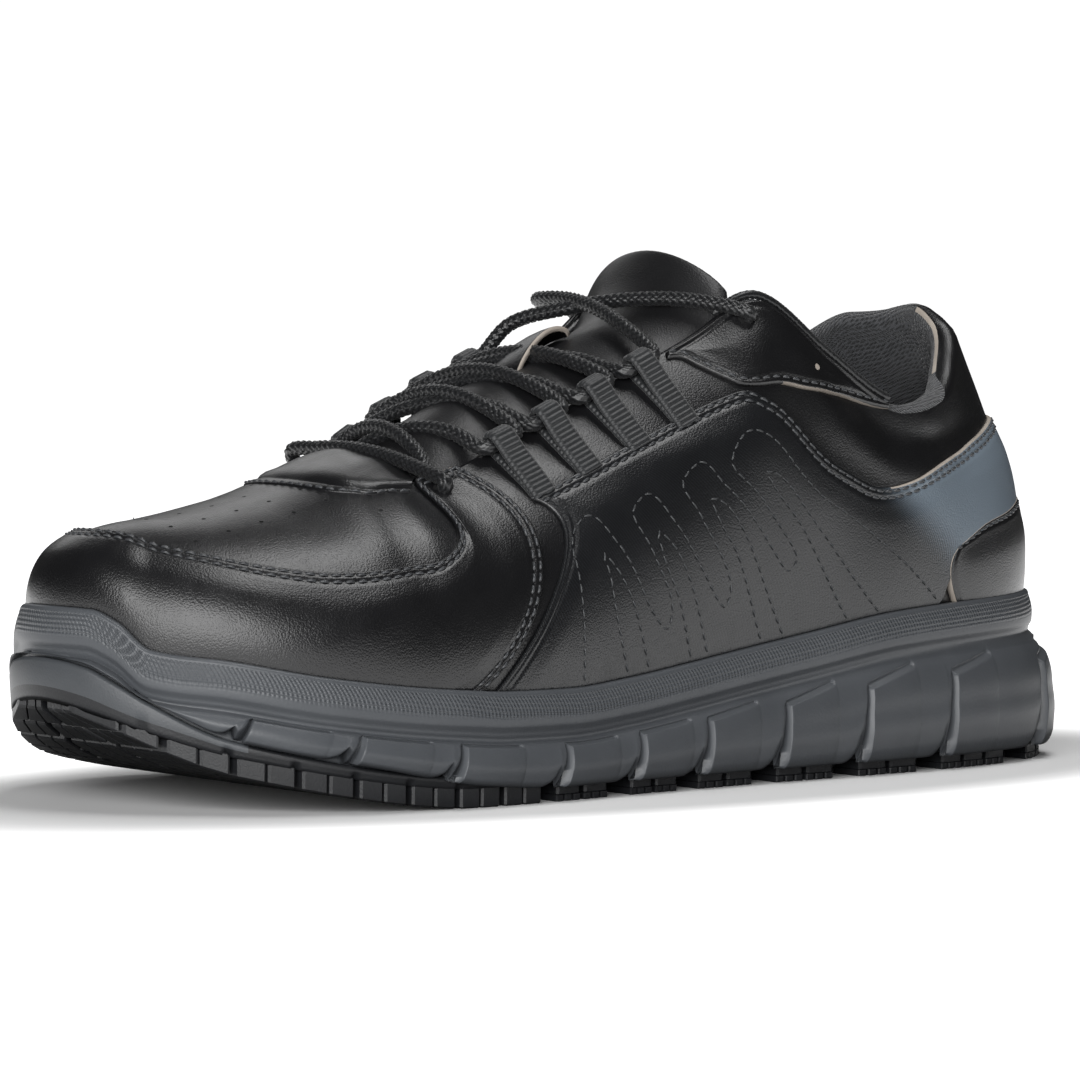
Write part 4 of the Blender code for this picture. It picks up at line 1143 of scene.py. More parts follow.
    def heights(self, far: Array) -> Array:
        """Height of the leather by its distance from the nearest free edge."""
        curve = np.sqrt(np.clip(1 - (1 - np.clip(far / self.rounding, 0, 1)) ** 2, 0, 1))
        height = self.wall * curve + 0.35 * smooth(far, 3.5, 10.0)
        for row in self.rows_in:
            height -= self.dip * np.exp(-0.5 * ((far - row) / 0.42) ** 2)
        return np.maximum(height, 0.02)

    def mark_pale(self, grid: Grid) -> None:
        """Leaves the cut of chosen edges pale."""
        rows, columns = self.surface.shape[:2]
        turned = {
            Edge.FOOT: grid.face_column < 3,
            Edge.HEAD: grid.face_column > columns - 5,
            Edge.START: grid.face_row < 3,
            Edge.END: grid.face_row > rows - 5,
        }
        for part in self.pale:
            across = part.edge in (Edge.HEAD, Edge.FOOT)
            share = grid.face_row / rows if across else grid.face_column / columns
            grid.paint(turned[part.edge] & (share >= part.start) & (share <= part.end), 1)

    def mark_fade(self, grid: Grid, spots: Array) -> None:
        """Stores how far the printed fade has come, on pieces that have it."""
        if not getattr(self.finish, "fades", False):
            return
        x = LAST.rows(spots[..., 0])[0][..., Col.X]
        slant = x - 48.0 - 68.0 * (spots[..., 1] - 0.045)
        set_attribute(grid.obj, "fade", (1 - smooth(slant, -30.0, 4.0))[grid.row, grid.column])

    def height_at(self, spots: Array) -> Array:
        """Height of the piece above the upper at places (u, t), from its nearest points."""
        known = self.spots.reshape(-1, 2) * PLAN
        lifts = self.lifts.ravel()
        found = [lifts[((known - spot) ** 2).sum(axis=1).argmin()] for spot in spots * PLAN]
        return np.array(found)

    def edge_line(self, edge: Edge, distance: float) -> Array:
        """Places (u, t) of a row that follows an edge at a distance.

        Args:
            edge: the edge to follow.
            distance: distance from the edge in millimetres.

        Returns:
            Rows of u and t.
        """
        base = LAST.wall(self.spots[..., 0], self.spots[..., 1])
        far = self.distances(base)[edge]
        spots, away = self.spots, far
        if edge in (Edge.START, Edge.END):
            spots, away = np.swapaxes(spots, 0, 1), np.swapaxes(away, 0, 1)
        flip = edge in (Edge.HEAD, Edge.END)
        line = []
        for spot, gap in zip(spots, away):
            order = slice(None, None, -1) if flip else slice(None)
            line.append([np.interp(distance, gap[order], spot[order][:, c]) for c in range(2)])
        return np.array(line)


def soft_interp(value: Array, knots: Sequence[tuple[float, float]]) -> Array:
    """Smooth curve through a few pairs, read at the given values."""
    curve = curve_through(np.array(knots), 300)
    return np.interp(value, curve[:, 0], curve[:, 1])


@dataclass
class Sole:
    """Sizes that midsole and outsole share."""

    heel_x: float = -7.5
    toe_x: float = 291.5
    lug_height: float = 4.2
    plate: float = 2.3
    wrap_wall: float = 2.4
    wrap_lip: float = 0.7
    fit: float = 0.35

    def ground(self, x: Array) -> Array:
        """Height of the tread above the floor: level under ball and heel, rising to the toe."""
        spring = np.clip((x - 210.0) / (self.toe_x - 210.0), 0, None)
        curl = np.clip((x - 262.0) / (self.toe_x - 262.0), 0, None)
        bevel = np.clip((self.heel_x + 20.0 - x) / 20.0, 0, None)
        return 16.0 * spring**1.55 + 8.0 * curl**2 + 3.0 * bevel**2

    def plate_top(self, row: Array) -> Array:
        """Top of the rubber plate."""
        return self.ground(row[..., Col.X]) + self.lug_height + self.plate

    def wrap_top(self, row: Array) -> Array:
        """Top of the rubber that is turned up at the edge."""
        return self.plate_top(row) + self.wrap_lip + row[..., Col.WRAP]

    def plate_out(self, row: Array) -> Array:
        """Overhang of the plate past the upper."""
        return row[..., Col.POD] - 2.6 * (1 - np.minimum(1.0, row[..., Col.WRAP] / 4.3))


@dataclass
class Midsole(Sole):
    """Foam cup with a hatched rim band over a row of raised pods that flex grooves part."""

    grooves: tuple[float, ...] = (16.0, 53.0, 82.5, 110.0, 136.0, 158.5, 183.0, 213.5, 238.0, 260.0)
    slant: float = 2.5
    depth: float = 2.6
    proud: float = 0.95
    ledge: float = 0.84
    ledge_run: float = 17.0
    sweep: float = 5.5
    drop: float = 4.0
    rim_wall: float = 3.4
    band: float = 8.5
    pitch: float = 0.9
    pod_steps: int = 34

    def marks(self) -> list[float]:
        """Distances from the heel at which the flex grooves start."""
        return [float(LAST.round_at(x, Side.LATERAL)) for x in self.grooves]

    def columns(self) -> Array:
        """Distances from heel to toe along one side, close together at the grooves and ledge ends."""
        cut = (0.0, 0.15, 0.35, 0.6, 0.9, 1.3, 1.8, 2.4, 3.0, 3.7, 4.5, 5.4, -0.12, -0.28, -0.45, -0.8)
        close = np.concatenate([cut, -self.ledge_run + np.arange(-1.0, 1.1, 0.33)])
        parts = [np.arange(0.0, LAST.toe, self.pitch), [LAST.toe]] + [mark + close for mark in self.marks()]
        joined = np.unique(np.concatenate(parts))
        joined = joined[(joined >= 0.0) & (joined <= LAST.toe)]
        return joined[np.concatenate([[True], np.diff(joined) > 0.08])]

    def relief(self, far: Array, v: float) -> Array:
        """How far the pods stand out or their grooves cut in.

        Args:
            far: distances from the heel.
            v: share of the pods' height.

        Returns:
            Offsets in millimetres.
        """
        offset = -0.4 * np.exp(-(((v - 0.5) / 0.13) ** 2)) * (1 - smooth(far, 90.0, 160.0))
        for mark in self.marks():
            back = mark - far
            climb = 0.12 * (1 - smooth(mark, 110.0, 190.0))
            ledge = self.ledge + climb * (back / self.ledge_run - 0.6)
            run = np.clip(1 - back / self.ledge_run, 0, 1)
            under = 1 - smooth(v, ledge - 0.012, ledge + 0.012)
            tile = self.proud * smooth(back, 0.0, 0.35) * run**0.6 * under
            trench = np.exp(-(((v - ledge - 0.034) / 0.019) ** 2))
            trench = trench * smooth(back, -0.6, 0.2) * smooth(run, 0.0, 0.05)
            width = 1.3 + 5.0 * np.clip(1 - v / 0.75, 0, 1) ** 2
            into = np.clip((back + width) / width, 0, 1)
            bite = (1 - np.sqrt(np.clip(1 - into**2, 0, 1))) * (1 - smooth(back, 0.0, 0.3))
            top = 1 - smooth(v, self.ledge - 0.6 * climb - 0.02, self.ledge - 0.6 * climb + 0.05)
            offset += tile - 0.75 * trench - (self.depth + 2.6 * (1 - v)) * bite * top
        return offset

    def foot_wave(self, far: Array) -> Array:
        """Rise of the pods' lower edge, swept up at their heel ends."""
        wave = np.zeros(far.shape)
        for mark in self.marks():
            back = mark + self.slant - far
            into = np.clip(1 + back / self.sweep, 0, 1) * (back <= 0.2)
            wave += 3.0 * (1 - np.sqrt(np.clip(1 - into**2, 0, 1)))
        return wave

    def build(self) -> Object:
        """Shapes the cup from its floor over the rim and down the stepped side.

        Returns:
            The finished piece.
        """
        half = self.columns()
        far = np.concatenate([half, half[::-1][1:]])
        u = np.concatenate([half, LAST.round - half[::-1][1:]])
        row = LAST.rows(u)[0]
        rim = row[:, Col.RIM]
        foot = rim - self.band
        level = 0 * u
        rings = [
            (level + 0.2, row[:, Col.FLOOR], 0.0),
            (level + 0.2, rim - 0.6, 0.0),
            (level + 0.5, rim, 0.0),
        ]
        for angle in np.linspace(90.0, 10.0, 6):
            bend = radians(angle)
            rings.append((level + self.rim_wall - 1.1 + 1.1 * cos(bend), rim - 1.1 + 1.1 * sin(bend), 0.0))
        for share in np.linspace(0.0, 1.0, 12):
            swell = 0.9 * share + 0.45 * sin(pi * share)
            mark = float(1 - smooth(share, 0.62, 0.8))
            rings.append((level + self.rim_wall + swell, rim - 1.2 - (self.band - 2.0) * share, mark))
        for add, down in ((0.75, 0.3), (0.35, -0.3), (0.05, -1.1), (0.0, -1.8)):
            rings.append((level + self.rim_wall + add, foot + down, 0.0))
        points = [LAST.offset(u, out, z) for out, z, _ in rings]
        marks = [mark for _, _, mark in rings]
        steps = np.concatenate([np.linspace(0.0, 0.97, self.pod_steps), np.arange(0.74, 0.93, 0.011)])
        steps = np.unique(steps)[::-1]
        share_pod = soft_interp(steps, ((0.0, 1.0), (0.16, 1.0), (0.45, 1.0), (0.8, 0.78), (1.0, 0.12)))
        share_add = soft_interp(
            steps, ((0.0, -1.8), (0.07, -0.7), (0.16, -0.25), (0.45, 0.0), (0.8, 0.0), (1.0, 2.9))
        )
        wave = self.foot_wave(far)
        ends = smooth(far, 0.0, 8.0) * (1 - smooth(far, LAST.toe - 22.0, LAST.toe))
        for v, scale, add in zip(steps, share_pod, share_add):
            shift = self.slant * (1 - v) * ends
            turned = np.where(u <= LAST.toe, u + shift, u - shift)
            row = LAST.rows(turned)[0]
            high, rest = row[:, Col.RIM] - self.band - 2.4, self.wrap_top(row) + self.fit
            low = rest - self.drop * (1 - smooth(row[:, Col.X], 185.0, 240.0))
            low = low + 0.5 * smooth(row[:, Col.WRAP], 0.3, 2.0)
            z = low + (high - low) * v + wave * (1 - v) ** 2
            inner = self.plate_out(row) + np.where(z < rest, self.fit, -self.wrap_wall)
            out = row[:, Col.POD] * scale + add + self.relief(far, v)
            points.append(LAST.offset(turned, np.maximum(out, inner), z))
        skirt, tuck = self.plate_out(row) + self.fit, self.plate_out(row) - self.wrap_wall - self.fit
        points.append(LAST.offset(turned, np.where(z < rest, skirt, tuck), z))
        points.append(LAST.offset(turned, np.where(z < rest, skirt, tuck), rest))
        points.append(LAST.offset(turned, tuck, rest))
        points.append(LAST.offset(turned, tuck, self.plate_top(row) + self.fit))
        marks += [0.0] * (len(points) - len(marks))
        points = np.array(points)
        points[:, -1] = points[:, 0]
        grid = shaped_grid("midsole_cup", points)
        set_attribute(grid.obj, "band", np.array(marks)[grid.row])
        dress(grid.obj, MIDSOLE_FOAM)
        seal(grid.obj)
        hand_over(grid.obj, "midsole_foam", "midsole")
        return grid.obj


@dataclass
class Outsole(Sole):
    """Rubber plate turned up over the toe, with rows of siped lugs."""

    lug_pitch: float = 12.6
    lug_slot: float = 1.4
    lug_share: float = 0.68
    lug_target: float = 8.5
    lug_end: float = 7.0
    toe_end: float = 1.5
    marks: tuple[float, ...] = (18.5, 55.5, 85.0, 112.5, 138.5, 161.0, 185.5)
    channel: float = 2.4
    sipe: float = 0.4
    inset: float = 0.7
    tooth: float = 1.6
    around: int = 1300

    def edge_y(self, x: Array, side: Side) -> Array:
        """Side position of the tread's edge at the lengths x."""
        u = LAST.spread if side == Side.LATERAL else LAST.round - LAST.spread
        row = LAST.rows(u)[0]
        edge = LAST.offset(u, self.plate_out(row) - self.inset, 0.0 * u)
        return np.interp(x, edge[:, 0], edge[:, 1])

    def build(self) -> Object:
        """Shapes the plate, adds the lugs and joins them.

        Returns:
            The finished piece.
        """
        plate = self.build_plate()
        lugs = self.build_lugs()
        activate(plate)
        lugs.select_set(True)
        bpy.ops.object.join()
        hand_over(plate, "outsole_rubber", "outsole")
        return plate

    def build_plate(self) -> Object:
        """The plate with its turned-up edge, closed underneath along the middle line."""
        u = np.linspace(0.0, LAST.round, self.around + 1)
        row = LAST.rows(u)[0]
        slots = np.zeros_like(u)
        half = self.lug_slot / 2
        for start, _ in self.rows():
            gap = np.abs(row[:, Col.X] - start + half)
            slots += (start > self.marks[-1]) * (1 - smooth(gap, half - 0.2, half + 0.2))
        slots *= smooth(np.abs(np.gradient(row[:, Col.X], u)), 0.5, 0.8)
        out, top = self.plate_out(row), self.wrap_top(row)
        base = self.ground(row[:, Col.X]) + self.lug_height
        rings = [
            LAST.offset(u, out - self.wrap_wall, self.plate_top(row)),
            LAST.offset(u, out - self.wrap_wall, top - 0.4),
            LAST.offset(u, out - self.wrap_wall + 0.4, top),
            LAST.offset(u, out - 0.7, top),
            LAST.offset(u, out - 0.2, top - 0.25),
            LAST.offset(u, out, top - 0.8),
        ]
        nose = smooth(row[:, Col.X], 266.0, 281.0)
        for share, cut in ((0.3 + 0.3 * nose, 0.0), (0.6 + 0.14 * nose, 1.3), (0.85, 1.3)):
            deep = 0.5 * share + cut * slots
            rings.append(LAST.offset(u, out - deep, top - 0.8 - (top - 0.8 - base) * share))
        rings.append(LAST.offset(u, out - 0.9 - 1.2 * slots, base + 0.15))
        rim = LAST.offset(u, out - 1.3 - 1.0 * slots, base)
        for share in (1.0, 0.75, 0.5, 0.25, 0.0):
            ring = rim.copy()
            ring[:, 1] *= share
            ring[:, 2] = self.ground(ring[:, 0]) + self.lug_height
            rings.append(ring)
        points = np.array(rings)
        points[:, -1] = points[:, 0]
        grid = shaped_grid("outsole_tread", points)
        dress(grid.obj, OUTSOLE_RUBBER, TOE_RUBBER)
        front = row[grid.face_column, Col.WRAP] > 0.6
        grid.paint(front & (grid.face_row < 6), 1)
        seal(grid.obj)
        return grid.obj

    def block(self) -> tuple[Array, Array]:
        """Points and faces of one rounded block of unit size, modelled once."""
        deselect()
        bpy.ops.mesh.primitive_cube_add(size=1.0)
        obj = bpy.context.object
        obj.scale = (4.0, 8.0, 4.6)
        bpy.ops.object.transform_apply(scale=True)
        finish_with(obj, "BEVEL", width=0.35, segments=1)
        points = np.empty(len(obj.data.vertices) * 3)
        obj.data.vertices.foreach_get("co", points)
        points = points.reshape(-1, 3) / np.array([4.0, 8.0, 4.6]) + 0.5
        faces = [tuple(p.vertices) for p in obj.data.polygons]
        bpy.data.objects.remove(obj)
        return points, faces

    def build_lugs(self) -> Object:
        """All lugs, each split by narrow sipes along and across."""
        unit, faces = self.block()
        copies = []
        for start, end in self.rows():
            full = self.lug_height + 0.6
            if start > self.marks[-1]:
                half = (end - start - self.sipe) / 2
                parts = [(start, half, 0.0, full), (start + half + self.sipe, half, 0.0, full)]
            else:
                step = (end - start) / 2.75
                parts = [(start, end - start, self.tooth - 0.1, full)]
                parts += [(start + i * step, step * 0.75, 0.0, self.tooth) for i in range(3)]
            for part in parts:
                copies += self.cells(part, unit)
        obj = stamped("outsole_lugs", faces, copies)
        dress(obj, OUTSOLE_RUBBER)
        return obj

    def rows(self) -> list[tuple[float, float]]:
        """Start and end of every row of lugs: clusters under the pods, then even rows under the forefoot."""
        rows = []
        marks = (self.heel_x + self.lug_end / 2, *self.marks)
        for back, front in zip(marks, marks[1:]):
            length = (front - back) * self.lug_share
            count = max(1, round(length / self.lug_target))
            step = (length + self.lug_slot) / count
            for i in range(count):
                end = front - self.lug_slot / 2 - i * step
                rows.append((end - step + self.lug_slot, end))
        start = marks[-1] + self.lug_slot * 3
        while start + self.lug_pitch - self.lug_slot < self.toe_x - self.toe_end:
            rows.append((start, start + self.lug_pitch - self.lug_slot))
            start += self.lug_pitch
        return rows

    def cells(self, part: tuple[float, float, float, float], unit: Array) -> list[Array]:
        """Blocks of one row of lugs, from edge to edge of the sole.

        Args:
            part: heel end and length of the row, and heights of its foot and top above the ground.
            unit: points of the unit block.

        Returns:
            The points of every block.
        """
        low_x, length, low_z, high_z = part
        x = low_x + length * unit[:, 0]
        low, high = self.edge_y(x, Side.MEDIAL), self.edge_y(x, Side.LATERAL)
        middle = low_x + length / 2
        width = float(self.edge_y(middle, Side.LATERAL) - self.edge_y(middle, Side.MEDIAL))
        columns = 3 if width > 50 else 2
        places = []
        for c in range(columns):
            for part in range(3):
                left = (c + part / 3) / columns
                right = (c + (part + 1) / 3) / columns
                inner_left = self.sipe / 2 if part > 0 else 0.0
                inner_right = self.sipe / 2 if part < 2 else 0.0
                gap_left = self.channel / 2 if part == 0 and c > 0 else inner_left
                gap_right = self.channel / 2 if part == 2 and c < columns - 1 else inner_right
                start = low + (high - low) * left + gap_left
                end = low + (high - low) * right - gap_right
                y = start + (end - start) * unit[:, 1]
                z = self.ground(x) + low_z + (high_z - low_z) * unit[:, 2]
                places.append(np.stack([x, y, z], axis=1))
        return places


@dataclass(frozen=True)
class TongueRow:
    """Tongue under the throat: length of the throat edge above, where it ends under it, crown height."""

    x: float
    edge_t: float
    crown_z: float
    thick: float


@dataclass(frozen=True)
class TongueTop:
    """Free top of the tongue: its middle, its edge, how far it leans aside and its thickness."""

    x: float
    z: float
    aside: float
    edge_x: float
    edge_y: float
    edge_z: float
    thick: float


@dataclass
class Tongue:
    """Padded leather tongue with a rounded free top."""

    under: tuple[TongueRow, ...] = (
        TongueRow(226.0, 0.72, 67.0, 1.6),
        TongueRow(213.5, 0.78, 69.6, 2.4),
        TongueRow(206.0, 0.90, 71.4, 3.2),
        TongueRow(198.0, 0.92, 75.8, 4.4),
        TongueRow(188.0, 0.93, 82.9, 5.0),
        TongueRow(172.0, 0.93, 90.1, 5.0),
        TongueRow(156.0, 0.93, 95.5, 5.0),
        TongueRow(140.0, 0.93, 103.0, 5.0),
        TongueRow(126.0, 0.94, 110.5, 5.0),
    )
    top: tuple[TongueTop, ...] = (
        TongueTop(119.5, 116.5, -1.0, 116.0, 27.0, 107.0, 6.0),
        TongueTop(115.5, 122.5, -2.2, 111.5, 28.0, 112.6, 5.6),
        TongueTop(113.2, 125.6, -3.0, 109.2, 26.2, 116.4, 3.4),
        TongueTop(112.2, 126.0, -3.2, 108.2, 25.2, 117.4, 1.6),
    )
    across: int = 22
    along: int = 84
    lean: float = 0.85

    def line(self, row: TongueRow) -> Array:
        """Arch over one row under the throat."""
        ends, ways = [], []
        for side in (Side.LATERAL, Side.MEDIAL):
            u = LAST.round_at_top(row.x, side)
            t = np.array(row.edge_t)
            depth = -(LAST.thickness(u, t) + 0.6)
            point = LAST.wall(u, t) + LAST.normal(u, t) * depth
            ahead = np.minimum(t + 0.05, 1.0)
            way = LAST.wall(u, ahead) + LAST.normal(u, ahead) * depth - point
            ends.append(point)
            ways.append(way / np.linalg.norm(way))
        lift = (ways[0][2] + ways[1][2]) / 2
        handle = (row.crown_z - (ends[0][2] + ends[1][2]) / 2) / (0.75 * lift)
        lean = self.lean * smooth(np.array(row.x), 130.0, 150.0) * (1 - smooth(np.array(row.x), 200.0, 216.0))
        q = np.linspace(0.0, 1.0, self.across + 1)[:, None]
        s = 1 - q
        return (
            s**3 * ends[0]
            + 3 * s * s * q * (ends[0] + ways[0] * handle * (1 - lean))
            + 3 * s * q * q * (ends[1] + ways[1] * handle * (1 + lean))
            + q**3 * ends[1]
        )

    def free_line(self, row: TongueTop) -> Array:
        """Bowed line over one row of the free top."""
        q = np.linspace(1.0, -1.0, self.across + 1)[:, None]
        middle = np.array([row.x, 0.0, row.z])
        edge = np.array([row.edge_x, 0.0, row.edge_z])
        line = middle + (edge - middle) * q * q
        line[:, 1] = row.edge_y * q[:, 0] + row.aside
        return line

    def crown_height(self, x: float) -> float:
        """Height of the tongue's crown at the length x."""
        rows = sorted([(r.x, r.crown_z) for r in self.under] + [(r.x, r.z) for r in self.top])
        return float(np.interp(x, [r[0] for r in rows], [r[1] for r in rows]))

    def build(self) -> Object:
        """Lofts the tongue as a closed pad.

        Returns:
            The finished piece.
        """
        lines = np.array([self.line(r) for r in self.under] + [self.free_line(r) for r in self.top])
        thick = np.array([r.thick for r in self.under] + [r.thick for r in self.top])
        columns = []
        for c in range(lines.shape[1]):
            joined = np.concatenate([lines[:, c], thick[:, None]], axis=1)
            columns.append(curve_through(joined, self.along))
        columns = np.array(columns).transpose(1, 0, 2)
        outer, pad = columns[..., :3], columns[..., 3]
        normals = np.cross(np.gradient(outer, axis=0), np.gradient(outer, axis=1))
        normals /= np.linalg.norm(normals, axis=2, keepdims=True)
        if normals[self.along // 2, self.across // 2, 2] < 0:
            normals = -normals
        spread = np.abs(np.linspace(-1.0, 1.0, self.across + 1))
        taper = np.sqrt(np.clip(1 - spread**6, 0.02, 1))
        outer = outer - normals * (pad * 0.5 * (1 - taper))[..., None]
        inner = outer - normals * (pad * taper)[..., None]
        ring = np.concatenate([outer, inner[:, ::-1], outer[:, :1]], axis=1)
        grid = shaped_grid("tongue_pad", ring)
        dress(grid.obj, TONGUE_LEATHER, LINING_KNIT)
        grid.paint((grid.face_column > self.across) & (grid.face_column < 2 * self.across + 1), 1)
        seal(grid.obj)
        finish_with(grid.obj, "SUBSURF", levels=1, render_levels=1)
        hand_over(grid.obj, "black_leather", "tongue")
        return grid.obj


@dataclass
class LoopFrame:
    """Axes at the throat edge: along it to the toe, over it to the middle, and up from the leather."""

    u: float
    along: Array
    over: Array
    up: Array
    edge: Array
    side: Side

    @classmethod
    def at(cls, x: float, side: Side) -> "LoopFrame":
        """The axes where the throat edge lies at the length x."""
        u = float(LAST.round_at_top(x, side))
        edge = LAST.wall(u, 1.0)
        along = LAST.wall(u + side, 1.0) - LAST.wall(u - side, 1.0)
        along /= np.linalg.norm(along)
        over = edge - LAST.wall(u, 0.96)
        over -= along * over.dot(along)
        over /= np.linalg.norm(over)
        return cls(u, along, over, np.cross(over, along) * int(side), edge, side)

    def square(self, t: float, height: float) -> Array:
        """Point on the upper straight down from the throat edge, square to it."""
        u = self.u
        for _ in range(4):
            u -= float((LAST.wall(u, t) - self.edge).dot(self.along)) * int(self.side)
        return LAST.skin(u, t, height)


@dataclass
class Webbing:
    """Ribbed webbing loops along the throat, each folded round the lace and sewn in at its foot."""

    stations: tuple[float, ...] = (180.0, 167.0, 153.5, 140.0)
    width: float = 6.3
    thick: float = 1.0
    rib: float = 1.25
    rib_height: float = 0.3
    bight_in: float = -1.4
    bight_up: float = 2.7
    bight_radius: float = 2.4
    foot: float = 0.72
    medial_ahead: float = 6.0
    medial_rise: float = 3.5

    def frame(self, station: float, side: Side) -> LoopFrame:
        """Axes of one loop; those on the inner side sit a little nearer to the toe."""
        return LoopFrame.at(station + (self.medial_ahead if side == Side.MEDIAL else 0.0), side)

    def rise(self, frame: LoopFrame) -> float:
        """How much higher the lace pulls the loops of the inner side, the first one least."""
        share = 1 - 0.88 * float(smooth(frame.edge[0], 160.0, 186.0))
        return self.medial_rise * share if frame.side == Side.MEDIAL else 0.0

    def middle(self, frame: LoopFrame) -> Array:
        """Middle of a bight, where the lace runs."""
        extra = self.rise(frame)
        return frame.edge + frame.over * (self.bight_in - extra * 0.2) + frame.up * (self.bight_up + extra)

    def path(self, frame: LoopFrame) -> Array:
        """Middle line of the webbing, from its lower leg round the bight to its upper leg."""
        low = [frame.square(t, h) for t, h in ((self.foot, 0.4), (0.8, 0.5), (0.9, 0.5))]
        extra = self.rise(frame)
        rows = ((0.9, 3.1 + extra * 0.75), (0.81, 1.8 + extra * 0.35), (self.foot, 0.9))
        high = [frame.square(t, h) for t, h in rows]
        middle = self.middle(frame)
        bight = []
        for angle in np.radians((-105, -60, -15, 30, 75, 120)):
            bight.append(middle + self.bight_radius * (frame.over * cos(angle) + frame.up * sin(angle)))
        return np.array(low + bight + high)

    def build(self) -> list[Object]:
        """Makes every loop.

        Returns:
            The finished pieces.
        """
        made = []
        for side, word in SIDES:
            for i, x in enumerate(self.stations):
                made.append(self.loop("webbing_%s_%d" % (word, i + 1), "loop_%s_%d" % (word, i + 1), x, side))
        return made

    def loop(self, name: str, node: str, x: float, side: Side) -> Object:
        """One ribbed loop.

        Args:
            name: name of the piece.
            node: the solid that it stands for.
            x: length of the throat edge where it sits.
            side: side of the shoe.

        Returns:
            The finished piece.
        """
        frame = self.frame(x, side)
        middle = curve_through(self.path(frame), 220)
        ways = np.gradient(middle, axis=0)
        faces = np.cross(ways, frame.along)
        faces /= np.linalg.norm(faces, axis=1, keepdims=True)
        gone = run_length(middle[None], 1)[0]
        ribs = self.rib_height * np.abs(np.sin(pi * gone / self.rib))
        across = np.linspace(-1.0, 1.0, 9)
        edge = np.where(np.abs(across) > 0.95, 0.35, 1.0)
        flat = middle[:, None] + frame.along * (across * self.width / 2)[None, :, None]
        half = (self.thick / 2 + ribs[:, None]) * edge[None, :]
        upper = flat + faces[:, None] * half[..., None]
        lower = flat - faces[:, None] * half[..., None]
        ring = np.concatenate([upper, lower[:, ::-1], upper[:, :1]], axis=1)
        grid = shaped_grid(name, ring)
        dress(grid.obj, WEBBING_CLOTH)
        seal(grid.obj)
        hand_over(grid.obj, "black_webbing", node)
        return grid.obj


@dataclass(frozen=True)
class Eyelet:
    """Place of a lace hole as station x and share t of the wall height."""

    x: float
    t: float


@dataclass
class Cord:
    """Round cord plaited from two sets of strands."""

    diameter: float = 3.7
    carriers: int = 7
    advance: float = 1.9
    relief: float = 0.46
    sides: int = 35
    step: float = 0.33
    finish: Finish = LACE_YARN_PAINTED_SHADE

    def braid(self, name: str, path: Array) -> Object:
        """Tube whose surface is plaited from two sets of strands.

        Args:
            name: name of the run.
            path: points that its middle passes.

        Returns:
            The closed tube.
        """
        coarse = curve_through(path, 400)
        count = int(run_length(coarse[None], 1)[0, -1] / self.step)
        middle = curve_through(path, count)
        ways = np.gradient(middle, axis=0)
        ways /= np.linalg.norm(ways, axis=1, keepdims=True)
        gone = run_length(middle[None], 1)[0]
        aside = np.empty_like(middle)
        guide = np.cross(ways[0], UP)
        for i, way in enumerate(ways):
            guide = guide - way * guide.dot(way)
            guide /= np.linalg.norm(guide)
            aside[i] = guide
        other = np.cross(ways, aside)
        turn = np.linspace(0.0, 2 * pi, self.sides + 1)
        first = self.carriers * turn[None, :] / (2 * pi) + gone[:, None] / self.advance
        second = self.carriers * turn[None, :] / (2 * pi) - gone[:, None] / self.advance
        on_top = (np.floor(first) + np.floor(second)) % 2 == 0
        across = np.where(on_top, first, second) % 1.0 - 0.5
        along = np.where(on_top, second, first) % 1.0 - 0.5
        plait = np.cos(pi * across) * (0.55 + 0.45 * np.cos(pi * along))
        radius = self.diameter / 2 - self.relief + self.relief * plait
        ends = smooth(gone, 0.0, 1.2) * smooth(gone[-1] - gone, 0.0, 1.2)
        radius *= (0.25 + 0.75 * ends)[:, None]
        ring = aside[:, None] * np.cos(turn)[None, :, None] + other[:, None] * np.sin(turn)[None, :, None]
        points = middle[:, None] + ring * radius[..., None]
        points[:, -1] = points[:, 0]
        grid = shaped_grid(name, points)
        dress(grid.obj, self.finish)
        # The plait's height also sets the yarn's colour: painted shade in the valleys between the strands.
        set_attribute(grid.obj, "plait", plait.ravel())
        seal(grid.obj)
        return grid.obj


@dataclass
class Piping(Cord):
    """Thin braided piping along the top edge of the collar."""

    diameter: float = 2.3
    carriers: int = 6
    advance: float = 1.5
    relief: float = 0.3
    sides: int = 16
    step: float = 0.4
    span: tuple[float, float] = (117.0, 66.0)

    def build(self) -> None:
        """Lays one run on each side, from the peak of the eyestay down to the heel."""
        for side, word in SIDES:
            u = LAST.round_at_top(np.linspace(*self.span, 30), side)
            edge = LAST.wall(u, np.ones_like(u))
            thick = LAST.thickness(u, np.ones_like(u))
            path = edge - LAST.normal(u, np.ones_like(u)) * (thick * 0.08)[:, None] + UP * 0.4
            hand_over(self.braid("collar_piping_" + word, path), "black_webbing")


